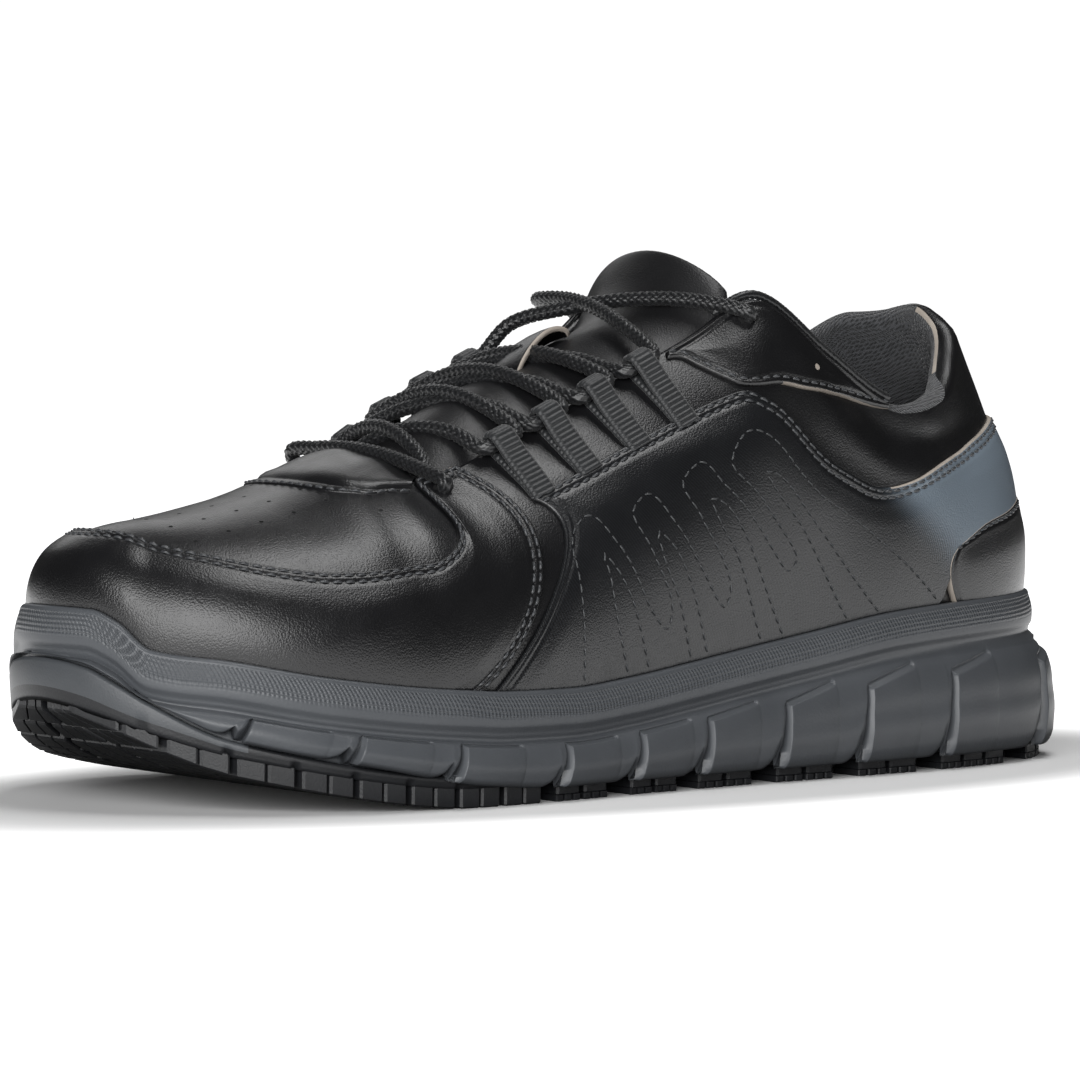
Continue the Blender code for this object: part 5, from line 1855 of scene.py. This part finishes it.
@dataclass
class Lace(Cord):
    """Round braided lace: a bar over the vamp and two strands that cross up to the top eyelets."""

    webbing: Webbing = field(default_factory=Webbing)
    tongue: Tongue = field(default_factory=Tongue)
    low: Eyelet = Eyelet(197.0, 0.90)
    high: Eyelet = Eyelet(126.0, 0.94)
    run: float = 4.6
    foot: tuple[tuple[float, float, float], ...] = (
        (198.0, 23.0, 69.5), (196.5, 19.0, 72.2), (194.5, 13.5, 76.8),
    )
    turn_low: tuple[float, float, float] = (201.5, -27.0, 77.2)
    turn_top: tuple[float, float, float] = (127.5, -26.5, 113.6)
    turn_near: tuple[float, float, float] = (137.5, -25.0, 107.4)

    def ends(self, x: float, side: Side) -> tuple[Array, Array]:
        """Points where the lace enters a bight on the toe side and leaves it on the heel side."""
        frame = self.webbing.frame(x, side)
        middle = self.webbing.middle(frame)
        return middle + frame.along * self.run, middle - frame.along * self.run

    def over(self, first: Array, last: Array, middle_z: float, count: int) -> list[Array]:
        """Points of an arc over the tongue between two ends, which are left out."""
        control = (first + last) / 2
        control[2] = 2 * middle_z - control[2]
        q = np.linspace(0.0, 1.0, count + 2)[1:-1, None]
        return list((1 - q) ** 2 * first + 2 * q * (1 - q) * control + q * q * last)

    def hole(self, eyelet: Eyelet, side: Side, height: float) -> Array:
        """Point over or under the leather at a lace hole."""
        return LAST.skin(LAST.round_at(eyelet.x, side), np.array(eyelet.t), height)

    def strand(self, start: Side, lift: float) -> Array:
        """Path of one strand from the foot of the throat to a top eyelet.

        Args:
            start: side on which it starts.
            lift: extra height of its first crossing over the tongue.

        Returns:
            The points that it passes.
        """
        side = start
        radius = self.diameter / 2
        path = [np.array([x, y * side, z]) for x, y, z in self.foot]
        for station in self.webbing.stations:
            side = Side(-side)
            enter, leave = self.ends(station, side)
            kept = station == self.webbing.stations[-1]
            rise = min(lift, 0.35 * self.diameter) if kept else lift
            middle_z = self.tongue.crown_height((path[-1][0] + enter[0]) / 2) + radius + rise
            path += self.over(path[-1], enter, middle_z, 3)
            path += [enter, (enter + leave) / 2, leave]
            lift = self.diameter * 0.6 - lift
        side = Side(-side)
        top = self.hole(self.high, side, radius + 3.0)
        if side == Side.MEDIAL:
            top = np.array(self.turn_top)
        else:
            path.append(np.array(self.turn_near))
        middle_z = self.tongue.crown_height((path[-1][0] + top[0]) / 2) + radius + 0.4 + lift
        path += self.over(path[-1], top, middle_z, 3)
        if side == Side.MEDIAL:
            path += [top, self.hole(self.high, side, radius + 2.4)]
        path += [self.hole(self.high, side, h) for h in (radius + 1.2, 0.4, -2.6)]
        return np.array(path)

    def bar(self) -> Array:
        """Path of the bar between the lowest eyelets, its ends through the holes."""
        down = (-2.0, 0.8, self.diameter / 2 + 1.6)
        first = [self.hole(self.low, Side.LATERAL, h) for h in down]
        last = [np.array(self.turn_low)] + [self.hole(self.low, Side.MEDIAL, h) for h in (3.0, 0.8, -2.0)]
        middle = (first[-1] + last[0]) / 2
        height = self.tongue.crown_height(middle[0]) + self.diameter * 0.92
        return np.array(first + self.over(first[-1], last[0], height, 5) + last)

    def length(self) -> float:
        """Length of all three runs in millimetres."""
        runs = (self.bar(), self.strand(Side.LATERAL, self.diameter * 0.6), self.strand(Side.MEDIAL, 0.0))
        return float(sum(run_length(curve_through(r, 900)[None], 1)[0, -1] for r in runs))

    def build(self) -> Object:
        """Braids the three runs and joins them.

        Returns:
            The finished piece.
        """
        runs = (self.bar(), self.strand(Side.LATERAL, self.diameter * 0.6), self.strand(Side.MEDIAL, 0.0))
        pieces = [self.braid("lace_%d" % i, run) for i, run in enumerate(runs)]
        activate(pieces[0])
        for piece in pieces[1:]:
            piece.select_set(True)
        bpy.ops.object.join()
        pieces[0].name = "braided_lace"
        hand_over(pieces[0], "black_webbing", "lace")
        return pieces[0]


@dataclass
class Stitching:
    """Rows of lockstitch: short threads that dip into the leather at both ends."""

    pitch: float = 3.0
    length: float = 2.35
    thread: float = 0.78

    def stitch(self) -> tuple[Array, list[tuple[int, ...]]]:
        """Points and faces of one stitch of unit length, modelled once from a ball."""
        deselect()
        bpy.ops.mesh.primitive_uv_sphere_add(segments=6, ring_count=6, radius=0.5)
        obj = bpy.context.object
        points = np.empty(len(obj.data.vertices) * 3)
        obj.data.vertices.foreach_get("co", points)
        points = points.reshape(-1, 3)[:, [2, 0, 1]]
        faces = [tuple(p.vertices) for p in obj.data.polygons]
        bpy.data.objects.remove(obj)
        fuller = np.sign(points[:, 0]) * 0.5 * np.sin(np.abs(points[:, 0]) * pi) ** 0.8
        points[:, 0] = fuller
        return points, faces

    def run(self, name: str, finish: Finish, lines: Sequence[tuple[Array, Array]]) -> Object:
        """Sews along lines on the shoe.

        Args:
            name: name of the piece.
            finish: the thread.
            lines: pairs of points and outward normals.

        Returns:
            The finished piece.
        """
        unit, faces = self.stitch()
        copies = []
        for points, normals in lines:
            length = run_length(points[None], 1)[0, -1]
            count = max(2, int(length / self.pitch))
            joined = even_steps_with(points, normals, count * 4 + 1)
            for k in range(count):
                middle, normal = joined[4 * k + 2, :3], joined[4 * k + 2, 3:]
                way = joined[4 * k + 3, :3] - joined[4 * k + 1, :3]
                way /= np.linalg.norm(way)
                normal = normal - way * normal.dot(way)
                normal /= np.linalg.norm(normal)
                side = np.cross(normal, way)
                sunk = -1.1 * self.thread * (2 * np.abs(unit[:, :1])) ** 3
                place = (
                    middle
                    + way * unit[:, :1] * self.length
                    + side * unit[:, 1:2] * self.thread
                    + normal * (unit[:, 2:3] * self.thread * 0.9 + sunk * 0.6)
                )
                copies.append(place)
        obj = stamped(name, faces, copies)
        obj.data.shade_smooth()
        dress(obj, finish)
        recalculate(obj)
        hand_over(obj, "black_webbing")
        return obj


@dataclass
class Punches:
    """Holes punched through the leather, each drawn as a near-black round just above it: painted shade for
    the inside of the hole.
    """

    pitch_x: float = 9.0
    pitch_y: float = 9.5
    first_x: float = 217.0
    pin: float = 0.5
    eyelet: float = 2.6
    # place and radius of the pale disc that paints the highlight in the collar's pressed dimple
    dot: Eyelet = Eyelet(107.0, 0.888)
    dot_size: float = 0.8

    def pins(self) -> Array:
        """Level places of the air holes in the vamp, with one more in the row nearest the throat."""
        rows = [
            (self.first_x + self.pitch_x * i, self.pitch_y * j) for i in range(1, 6) for j in range(-2, 3)
        ]
        return np.array(rows + [(self.first_x, self.pitch_y * 3), (self.first_x + 1.0, -self.pitch_y * 3)])

    def build(self, overlays: dict[str, Overlay], lace: Lace) -> None:
        """Lays near-black discs of painted shade at the air holes and the four eyelets, and a pale disc on
        the collar that paints the highlight of its pressed dimple.

        Args:
            overlays: the fitted overlays by name.
            lace: the lace with its eyelets.
        """
        holes = [(spot, 0.03, self.pin) for spot in LAST.above(self.pins())]
        for side, word in SIDES:
            for eyelet, panel in ((lace.low, "mudguard"), (lace.high, "collar_" + word)):
                spot = np.array([LAST.round_at(eyelet.x, side), eyelet.t])
                holes.append((spot, float(overlays[panel].height_at(spot[None])[0]) + 0.05, self.eyelet))
        dot = np.array([LAST.round_at(self.dot.x, Side.LATERAL), self.dot.t])
        holes.append((dot, float(overlays["collar_lateral"].height_at(dot[None])[0]) + 0.05, self.dot_size))
        turn = np.linspace(0.0, 2 * pi, 15)[:-1]
        copies = []
        for (u, t), height, radius in holes:
            normal = LAST.normal(u, np.array(t))
            along = np.cross(normal, (0.0, 1.0, 0.0))
            along /= np.linalg.norm(along)
            ring = np.cos(turn)[:, None] * along + np.sin(turn)[:, None] * np.cross(normal, along)
            copies.append(LAST.skin(u, np.array(t), height) + ring * radius)
        # The near-black discs paint the shade inside the holes; the pale disc paints the highlight in the
        # collar's pressed dimple.
        for name, part, finish in (
            ("punched_hole_shade_discs", copies[:-1], HOLE_PAINTED_SHADE), ("collar_dimple_painted_highlight", copies[-1:], CUT_LEATHER),
        ):
            obj = stamped(name, [tuple(range(len(turn)))], part)
            dress(obj, finish)
            hand_over(obj, "black_leather")


@dataclass
class TongueFlaps:
    """Leather tab at the foot of the tongue, and the keeper strap that bridges the lace higher up."""

    tongue: Tongue
    seam: tuple[tuple[float, float], ...] = (
        # x and y of the tab's front seam, from the outer to the inner side
        (205.0, 22.9), (210.5, 22.0), (215.5, 20.8), (220.5, 16.5), (223.0, 8.0), (223.4, 0.0), (223.0, -8.0),
        (220.5, -16.5), (215.5, -20.8), (210.5, -22.0), (205.0, -22.9),
    )
    back_x: float = 196.0
    back_y: float = 14.0
    keeper: tuple[tuple[float, float], ...] = ((156.5, 2.0), (137.0, -3.0))
    keeper_width: float = 13.0
    keeper_rise: float = 5.0
    keeper_thick: float = 1.3
    bow: float = 0.0163

    def surface(self, x: Array, y: Array) -> Array:
        """Points on top of the tongue."""
        z = np.array([self.tongue.crown_height(float(v)) for v in np.ravel(x)]) - self.bow * np.ravel(y) ** 2
        return np.stack([np.ravel(x), np.ravel(y), z], axis=1)

    def build(self) -> list[tuple[Array, Array]]:
        """Makes both pieces.

        Returns:
            Lines to be sewn: points and normals.
        """
        self.strap()
        return self.tab()

    def tab(self) -> list[tuple[Array, Array]]:
        """The cut edge of the vamp with the tongue's leather bulging behind it, back under the lace."""
        count = 81
        front = even_steps(curve_through(np.array(self.seam), 300), count)
        back = np.stack([np.full(count, self.back_x), np.linspace(self.back_y, -self.back_y, count)], axis=1)
        rows = []
        for q, height in (
            (-0.085, -0.1), (-0.08, 0.2), (-0.06, 0.45), (-0.02, 0.55), (0.0, 0.5), (0.012, 0.25),
            (0.024, -0.1), (0.045, 0.35), (0.075, 0.9), (0.12, 1.3), (0.2, 1.5),
        ):
            spots = LAST.above(front + (back - front) * q)
            rows.append(LAST.skin(spots[:, 0], spots[:, 1], height))
            if q == -0.06:
                sewn = rows[-1]
                normals = LAST.normal(spots[:, 0], spots[:, 1])
        last = rows[-1]
        share = np.linspace(0.0, 1.0, count)
        taper = np.sin(pi * share)
        raised = 2.4 * smooth(share, 0.4, 0.85)
        end = self.surface(back[:, 0], back[:, 1])[:, 2] + 0.3 + raised
        for q in (0.12, 0.25, 0.4, 0.55, 0.7, 0.85, 1.0):
            level = last[:, :2] * (1 - q) + back * q
            bulge = (0.9 * taper + 0.6 * raised) * sin(pi * q)
            z = last[:, 2] * (1 - q) + end * q + bulge - 1.6 * (1 - taper) * q
            rows.append(np.concatenate([level, z[:, None]], axis=1))
        grid = shaped_grid("tongue_tab", np.array(rows))
        dress(grid.obj, BLACK_LEATHER, CUT_LEATHER)
        grid.paint((grid.face_row >= 4) & (grid.face_row < 6) & (grid.face_column < 17), 1)
        hand_over(grid.obj, "black_leather")
        return [(sewn + normals * 0.1, normals)]

    def strap(self) -> None:
        """The keeper, raised over the lace, with raw pale edges."""
        near = np.linspace(*np.array(self.keeper), 31)
        arch = np.sin(pi * np.linspace(0.0, 1.0, 31)) ** 0.6
        rows = []
        for share in (0.0, 0.03, 0.1, 0.25, 0.5, 0.75, 0.9, 0.97, 1.0):
            line = near + np.array([0.0, -self.keeper_width * share])
            rise = self.keeper_rise * arch * (1 - 0.3 * share) + 0.5
            rows.append(self.surface(line[:, 0], line[:, 1]) + UP * rise[:, None])
        grid = shaped_grid("tongue_keeper", np.array(rows))
        dress(grid.obj, BLACK_LEATHER, CUT_LEATHER)
        finish_with(grid.obj, "SOLIDIFY", thickness=self.keeper_thick * MM, offset=0.0, material_offset_rim=1)
        hand_over(grid.obj, "black_leather")


def even_steps_with(points: Array, normals: Array, count: int) -> Array:
    """Evenly spaced points along a line, each with the normal found there."""
    gone = run_length(points[None], 1)[0]
    wanted = np.linspace(0.0, gone[-1], count)
    both = np.concatenate([points, normals], axis=1)
    return np.stack([np.interp(wanted, gone, both[:, c]) for c in range(6)], axis=1)


def on_skin(spots: Array, height: Array | float) -> tuple[Array, Array]:
    """Points and normals of a line of places (u, t), at a height above the upper."""
    return LAST.skin(spots[:, 0], spots[:, 1], height), LAST.normal(spots[:, 0], spots[:, 1])


MUDGUARD = (
    Seam(207.5, HIDDEN_FOOT, 185.0, 0.42, 189.5, 1.0),
    Seam(212.0, HIDDEN_FOOT, 193.0, 0.41, 195.0, 1.0),
    Seam(218.0, HIDDEN_FOOT, 202.0, 0.37, 201.5, 0.97),
    Seam(222.0, HIDDEN_FOOT, 207.0, 0.30, 202.0, 0.72),
    Seam(226.0, HIDDEN_FOOT, 213.0, 0.25, 206.0, 0.56),
    Seam(231.0, HIDDEN_FOOT, 222.0, 0.21, 214.0, 0.43),
    Seam(237.0, HIDDEN_FOOT, 231.0, 0.18, 225.5, 0.37),
    Seam(245.0, HIDDEN_FOOT, 242.0, 0.19, 240.0, 0.38),
    Seam(256.0, HIDDEN_FOOT, 255.0, 0.22, 254.5, 0.43),
    Seam(268.5, HIDDEN_FOOT, 268.0, 0.27, 268.0, 0.52),
    Seam(280.0, HIDDEN_FOOT, 280.0, 0.33, 280.0, 0.63),
    Seam(286.0, HIDDEN_FOOT, 286.0, 0.35, 286.0, 0.68),
)

QUARTER = (
    Seam(203.0, HIDDEN_FOOT, 179.5, 0.42, 181.0, 0.733),
    Seam(188.0, HIDDEN_FOOT, 170.0, 0.42, 169.0, 0.745),
    Seam(170.0, HIDDEN_FOOT, 158.0, 0.42, 156.0, 0.757),
    Seam(150.0, HIDDEN_FOOT, 143.0, 0.41, 143.0, 0.763),
    Seam(138.0, HIDDEN_FOOT, 133.0, 0.40, 132.0, 0.744),
    Seam(128.0, HIDDEN_FOOT, 125.5, 0.375, 124.0, 0.692),
    Seam(112.0, HIDDEN_FOOT, 110.0, 0.34, 109.0, 0.628),
    Seam(94.0, HIDDEN_FOOT, 93.0, 0.32, 92.0, 0.594),
    Seam(82.0, HIDDEN_FOOT, 82.0, 0.315, 81.0, 0.582),
    Seam(68.0, HIDDEN_FOOT, 69.0, 0.33, 69.0, 0.622),
    Seam(54.0, HIDDEN_FOOT, 54.0, 0.36, 54.0, 0.682),
    Seam(48.0, 0.12, 39.0, 0.42, 34.0, 0.70),
    Seam(33.0, 0.27, 24.0, 0.47, 20.0, 0.69),
    Seam(14.0, 0.29, 10.5, 0.46, 8.5, 0.675),
    Seam(2.5, 0.29, 2.5, 0.46, 2.5, 0.66),
)

COLLAR = (
    Seam(146.5, 0.965, 146.3, 0.975, 146.0, 0.985),
    Seam(144.0, 0.945, 143.5, 0.965, 143.0, 0.985),
    Seam(141.4, 0.893, 140.5, 0.94, 139.5, 0.985),
    Seam(137.1, 0.822, 136.0, 0.905, 135.0, 0.985),
    Seam(131.9, 0.758, 131.0, 0.87, 130.0, 0.985),
    Seam(124.5, 0.735, 124.0, 0.86, 123.5, 0.985),
    Seam(114.1, 0.763, 113.5, 0.875, 113.0, 0.985),
    Seam(103.7, 0.836, 103.0, 0.91, 102.5, 0.985),
    Seam(94.6, 0.881, 94.0, 0.935, 93.5, 0.985),
    Seam(85.9, 0.918, 85.5, 0.952, 85.0, 0.985),
    Seam(77.0, 0.955, 77.0, 0.97, 77.0, 0.985),
)

COUNTER = (
    Seam(45.5, HIDDEN_FOOT, 50.0, 0.137, 46.0, 0.237),
    Seam(36.0, HIDDEN_FOOT, 37.0, 0.16, 34.0, 0.312),
    Seam(24.0, HIDDEN_FOOT, 24.0, 0.165, 22.0, 0.328),
    Seam(12.0, HIDDEN_FOOT, 12.0, 0.165, 12.0, 0.335),
    Seam(5.0, HIDDEN_FOOT, 5.0, 0.165, 5.0, 0.335),
    Seam(2.5, HIDDEN_FOOT, 2.5, 0.165, 2.5, 0.335),
)

WAVE_LINE = (
    # station x, share t of the wall height
    (175.0, 0.01), (176.5, 0.34), (175.8, 0.51), (172.0, 0.56), (166.0, 0.41), (155.0, 0.17), (148.5, 0.10),
    (147.5, 0.14), (156.0, 0.33), (162.0, 0.50), (158.5, 0.54), (151.0, 0.41), (139.0, 0.22), (129.5, 0.11),
    (128.5, 0.15), (142.0, 0.37), (149.5, 0.53), (145.5, 0.57), (137.0, 0.46), (116.0, 0.24), (109.0, 0.19),
    (107.5, 0.23), (121.0, 0.36), (136.0, 0.53), (132.5, 0.60), (113.0, 0.50), (84.0, 0.37), (54.0, 0.02),
)

WAVE_LOOPS = (
    ((153.5, 0.01), (159.5, 0.17), (167.0, 0.34), (169.5, 0.39), (168.0, 0.30), (166.0, 0.19), (160.5, 0.01)),
    ((134.0, 0.01), (141.0, 0.17), (151.5, 0.35), (155.0, 0.39), (152.5, 0.30), (145.0, 0.15), (139.5, 0.01)),
    ((108.5, 0.01), (120.5, 0.20), (136.0, 0.40), (140.5, 0.43), (136.5, 0.35), (126.5, 0.21), (116.0, 0.01)),
    ((75.5, 0.01), (99.0, 0.32), (117.5, 0.45), (123.5, 0.46), (119.0, 0.41), (105.5, 0.31), (86.5, 0.01)),
)


@dataclass
class Studio:
    """White sweep, soft boxes and the camera at the photograph's angle."""

    turn: float = 39.416
    rise: float = 2.697
    roll: float = 0.585
    distance: float = 1215.09
    target: tuple[float, float, float] = (148.89, 1.41, 56.39)
    focal: float = 5105.28
    frame: float = 1080.0
    sensor: float = 36.0
    floor_tone: str = "#f4f4f4"
    floor_size: float = 30.0
    surround: tuple[float, float] = (0.03, 1.05)  # strength as a light and to the eye

    def build(self) -> None:
        """Adds floor, lights, world and camera."""
        self.floor()
        self.light("overhead_box", (-0.2, 0.16, 1.3), (0.9, 0.5), 6.4, (0.0, 0.0, 0.03))
        self.light("back_box", (-0.55, -1.2, 0.78), (1.1, 0.5), 2.0, (0.0, 0.0, 0.05))
        self.light("heel_strip", (-1.0, 0.95, 0.35), (0.7, 0.5), 0.15, (0.0, 0.0, 0.05))
        self.light("camera_box", (1.0, 0.82, 0.42), (1.3, 0.8), 20.0, (0.0, 0.0, 0.05))
        self.world()
        self.camera()

    def floor(self) -> None:
        """A pale seamless floor."""
        deselect()
        bpy.ops.mesh.primitive_plane_add(size=self.floor_size)
        floor = bpy.context.object
        floor.name = "studio_floor"
        dress(floor, FloorPaper("pale_floor_paper", tone=self.floor_tone))

    def light(
        self, name: str, place: tuple[float, float, float], size: tuple[float, float], power: float,
        aim: tuple[float, float, float],
    ) -> None:
        """One soft box aimed at the shoe.

        Args:
            name: name of the lamp.
            place: its position in metres.
            size: its width and height in metres.
            power: its power in watts.
            aim: the point that it faces.
        """
        deselect()
        bpy.ops.object.light_add(type="AREA", location=place)
        lamp = bpy.context.object
        lamp.name = name
        lamp.data.shape = "RECTANGLE"
        lamp.data.size, lamp.data.size_y = size
        lamp.data.energy = power
        way = np.array(aim) - np.array(place)
        way /= np.linalg.norm(way)
        side = np.cross(way, UP if abs(way[2]) < 0.99 else np.array([1.0, 0.0, 0.0]))
        side /= np.linalg.norm(side)
        top = np.cross(side, way)
        axes = np.eye(4)
        axes[:3, 0], axes[:3, 1], axes[:3, 2], axes[:3, 3] = side, top, -way, place
        lamp.matrix_world = Matrix(axes.tolist())

    def world(self) -> None:
        """Even white surround: bright to the eye, mild as a light."""
        world = bpy.data.worlds.new("white_surround")
        bpy.context.scene.world = world
        world.use_nodes = True
        tree = world.node_tree
        path = add_node(tree, "LightPath").outputs["Is Camera Ray"]
        mild, bright = self.surround
        power = add_node(tree, "MapRange", {"Value": path, "To Min": mild, "To Max": bright})
        ground = tree.nodes["Background"]
        ground.inputs["Color"].default_value = (1.0, 1.0, 1.0, 1.0)
        tree.links.new(power.outputs["Result"], ground.inputs["Strength"])
        bpy.context.scene.view_settings.view_transform = "Standard"

    def camera(self) -> None:
        """Camera at the photograph's angle, distance and framing."""
        turn, rise, roll = radians(self.turn), radians(self.rise), radians(self.roll)
        back = np.array([sin(turn) * cos(rise), cos(turn) * cos(rise), sin(rise)])
        right = np.array([-cos(turn), sin(turn), 0.0])
        up = np.cross(back, right)
        axes = np.eye(4)
        axes[:3, 0] = cos(roll) * right + sin(roll) * up
        axes[:3, 1] = -sin(roll) * right + cos(roll) * up
        axes[:3, 2] = back
        axes[:3, 3] = to_frame(np.array(self.target) + back * self.distance)
        deselect()
        bpy.ops.object.camera_add()
        camera = bpy.context.object
        camera.name = "photo_camera"
        camera.data.sensor_width = self.sensor
        camera.data.lens = self.focal / self.frame * self.sensor
        camera.data.clip_end = 100.0
        camera.matrix_world = Matrix(axes.tolist())
        bpy.context.scene.camera = camera


@dataclass(frozen=True)
class FloorPaper(Finish):
    """Matt seamless paper that reads white to the eye and throws little light back at the black shoe."""

    tone: str = "#f4f4f4"
    bounce: str = "#6e6e6e"
    glow: float = 1.1
    shine: float = 1.4
    fill: float = 0.05
    reach: tuple[float, float] = (0.168, 0.07)
    near: float = 1.0
    far: float = 1.5
    lit: tuple[float, float] = (0.8, 2.0)

    def paint(self, tree: NodeTree, shader: Node) -> None:
        """White where it is looked at, and brighter away from the shoe so that it meets the surround."""
        seen = add_node(tree, "LightPath").outputs["Is Camera Ray"]
        tone = add_node(
            tree, "Mix", {0: seen, 6: colour(self.bounce), 7: colour(self.tone)}, data_type="RGBA"
        )
        tree.links.new(tone.outputs[2], shader.inputs["Base Color"])
        shader.inputs["Roughness"].default_value = 0.9
        shader.inputs["Specular IOR Level"].default_value = 0.0
        place = add_node(tree, "TexCoord").outputs["Object"]
        flat = add_node(
            tree, "VectorMath", {0: place, 1: (1 / self.reach[0], 1 / self.reach[1], 0.0)},
            operation="MULTIPLY",
        )
        gone = add_node(tree, "VectorMath", {0: flat.outputs[0]}, operation="LENGTH")
        share = add_node(
            tree, "MapRange",
            {"Value": gone.outputs["Value"], "From Min": self.near, "From Max": self.far, "To Min": 0.0,
             "To Max": self.glow},
            interpolation_type="SMOOTHSTEP",
        )
        ray = add_node(tree, "LightPath").outputs["Is Glossy Ray"]
        away = add_node(tree, "VectorMath", {0: place}, operation="LENGTH")
        shine = add_node(
            tree, "MapRange",
            {"Value": away.outputs["Value"], "From Min": self.lit[0], "From Max": self.lit[1],
             "To Min": self.shine, "To Max": 0.0},
            interpolation_type="SMOOTHSTEP",
        )
        mild = add_node(
            tree, "MapRange", {"Value": ray, "To Min": self.fill, "To Max": shine.outputs["Result"]}
        )
        lamp = add_node(
            tree, "MapRange", {"Value": seen, "To Min": mild.outputs["Result"], "To Max": 1.0}
        )
        glow = add_node(
            tree, "Math", {0: share.outputs["Result"], 1: lamp.outputs["Result"]}, operation="MULTIPLY"
        )
        shader.inputs["Emission Color"].default_value = (1.0, 1.0, 1.0, 1.0)
        tree.links.new(glow.outputs[0], shader.inputs["Emission Strength"])


def build_overlays() -> dict[str, Overlay]:
    """Cuts and fits every overlay.

    Returns:
        The overlays by name.
    """
    both = (Side.LATERAL, Side.MEDIAL)
    edges = (Edge.HEAD, Edge.START, Edge.END)
    made = {
        "mudguard": Overlay(
            "mudguard_leather", "mudguard", MUDGUARD, both, edges, BLACK_LEATHER, along=300, across=30,
            pale=(Pale(Edge.HEAD, 0.0, 0.07), Pale(Edge.HEAD, 0.93, 1.0)),
        ),
        "counter": Overlay(
            "counter_leather", "heel_counter", COUNTER, both, edges, BLACK_LEATHER,
            pale=tuple(map(Pale, edges)), along=90, across=10, wall=1.9, rows_in=(1.5,),
        ),
    }
    for side, word in SIDES:
        made["quarter_" + word] = Overlay(
            "quarter_leather_" + word, "quarter_" + word, QUARTER, (side,), (Edge.HEAD, Edge.START),
            QUARTER_LEATHER, pale=(Pale(Edge.HEAD, 0.56, 1.0),), along=150, across=34, wall=1.2,
            rows_in=(1.1, 2.9),
        )
        made["collar_" + word] = Overlay(
            "collar_leather_" + word, "collar_overlay_" + word, COLLAR, (side,),
            (Edge.FOOT, Edge.HEAD, Edge.START, Edge.END), BLACK_LEATHER,
            pale=(Pale(Edge.FOOT, 0.42, 1.0),), along=80, across=12, wall=1.2, rows_in=(1.8,),
        )
    for overlay in made.values():
        overlay.build()
    return made


def sew(overlays: dict[str, Overlay], more: list[tuple[Array, Array]]) -> None:
    """Sews the overlays down and the waves into the quarters.

    Args:
        overlays: the fitted overlays by name.
        more: other lines to be sewn.
    """
    sewing = Stitching()
    rows = list(more)
    for distance in (1.2, 3.0):
        for edge in (Edge.HEAD, Edge.START, Edge.END):
            rows.append(on_skin(overlays["mudguard"].edge_line(edge, distance), 1.3))
    rows.append(on_skin(overlays["counter"].edge_line(Edge.HEAD, 1.5), 1.75))
    for word in ("lateral", "medial"):
        for distance in (1.1, 2.9):
            rows.append(on_skin(overlays["quarter_" + word].edge_line(Edge.HEAD, distance), 1.12))
        rows.append(on_skin(overlays["collar_" + word].edge_line(Edge.FOOT, 1.8), 1.05))
    sewing.run("seam_stitches", BLACK_THREAD_PAINTED_SHEEN, rows)
    waves = []
    for side, word in SIDES:
        panel = overlays["quarter_" + word]
        for line in (WAVE_LINE, *WAVE_LOOPS):
            x, t = (curve_through(np.array(line) * PLAN, 500) / PLAN).T
            spots = np.stack([LAST.round_at(x, side), t], axis=1)
            waves.append(on_skin(spots, panel.height_at(spots) + 0.14))
    Stitching(pitch=2.9, length=2.2, thread=0.5).run("wave_stitches", WAVE_THREAD_PAINTED_SHEEN, waves)


def main() -> None:
    """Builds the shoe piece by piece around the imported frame."""
    logging.basicConfig(level=logging.INFO, format="%(name)s %(message)s")
    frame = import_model()
    Studio().build()
    Upper().build()
    overlays = build_overlays()
    Midsole().build()
    Outsole().build()
    tongue = Tongue()
    tongue.build()
    sew(overlays, TongueFlaps(tongue).build())
    webbing = Webbing()
    webbing.build()
    lace = Lace(webbing=webbing, tongue=tongue)
    lace.build()
    Piping().build()
    Punches().build(overlays, lace)
    LOG.info("lace length %.0f mm", lace.length())
    dress_insole(frame["nodes"]["insole"])


def dress_insole(insole: Object) -> None:
    """Gives the insole solid its cloth."""
    for slot in insole.material_slots:
        slot.material = INSOLE_CLOTH.material()


if __name__ == "__main__":
    main()
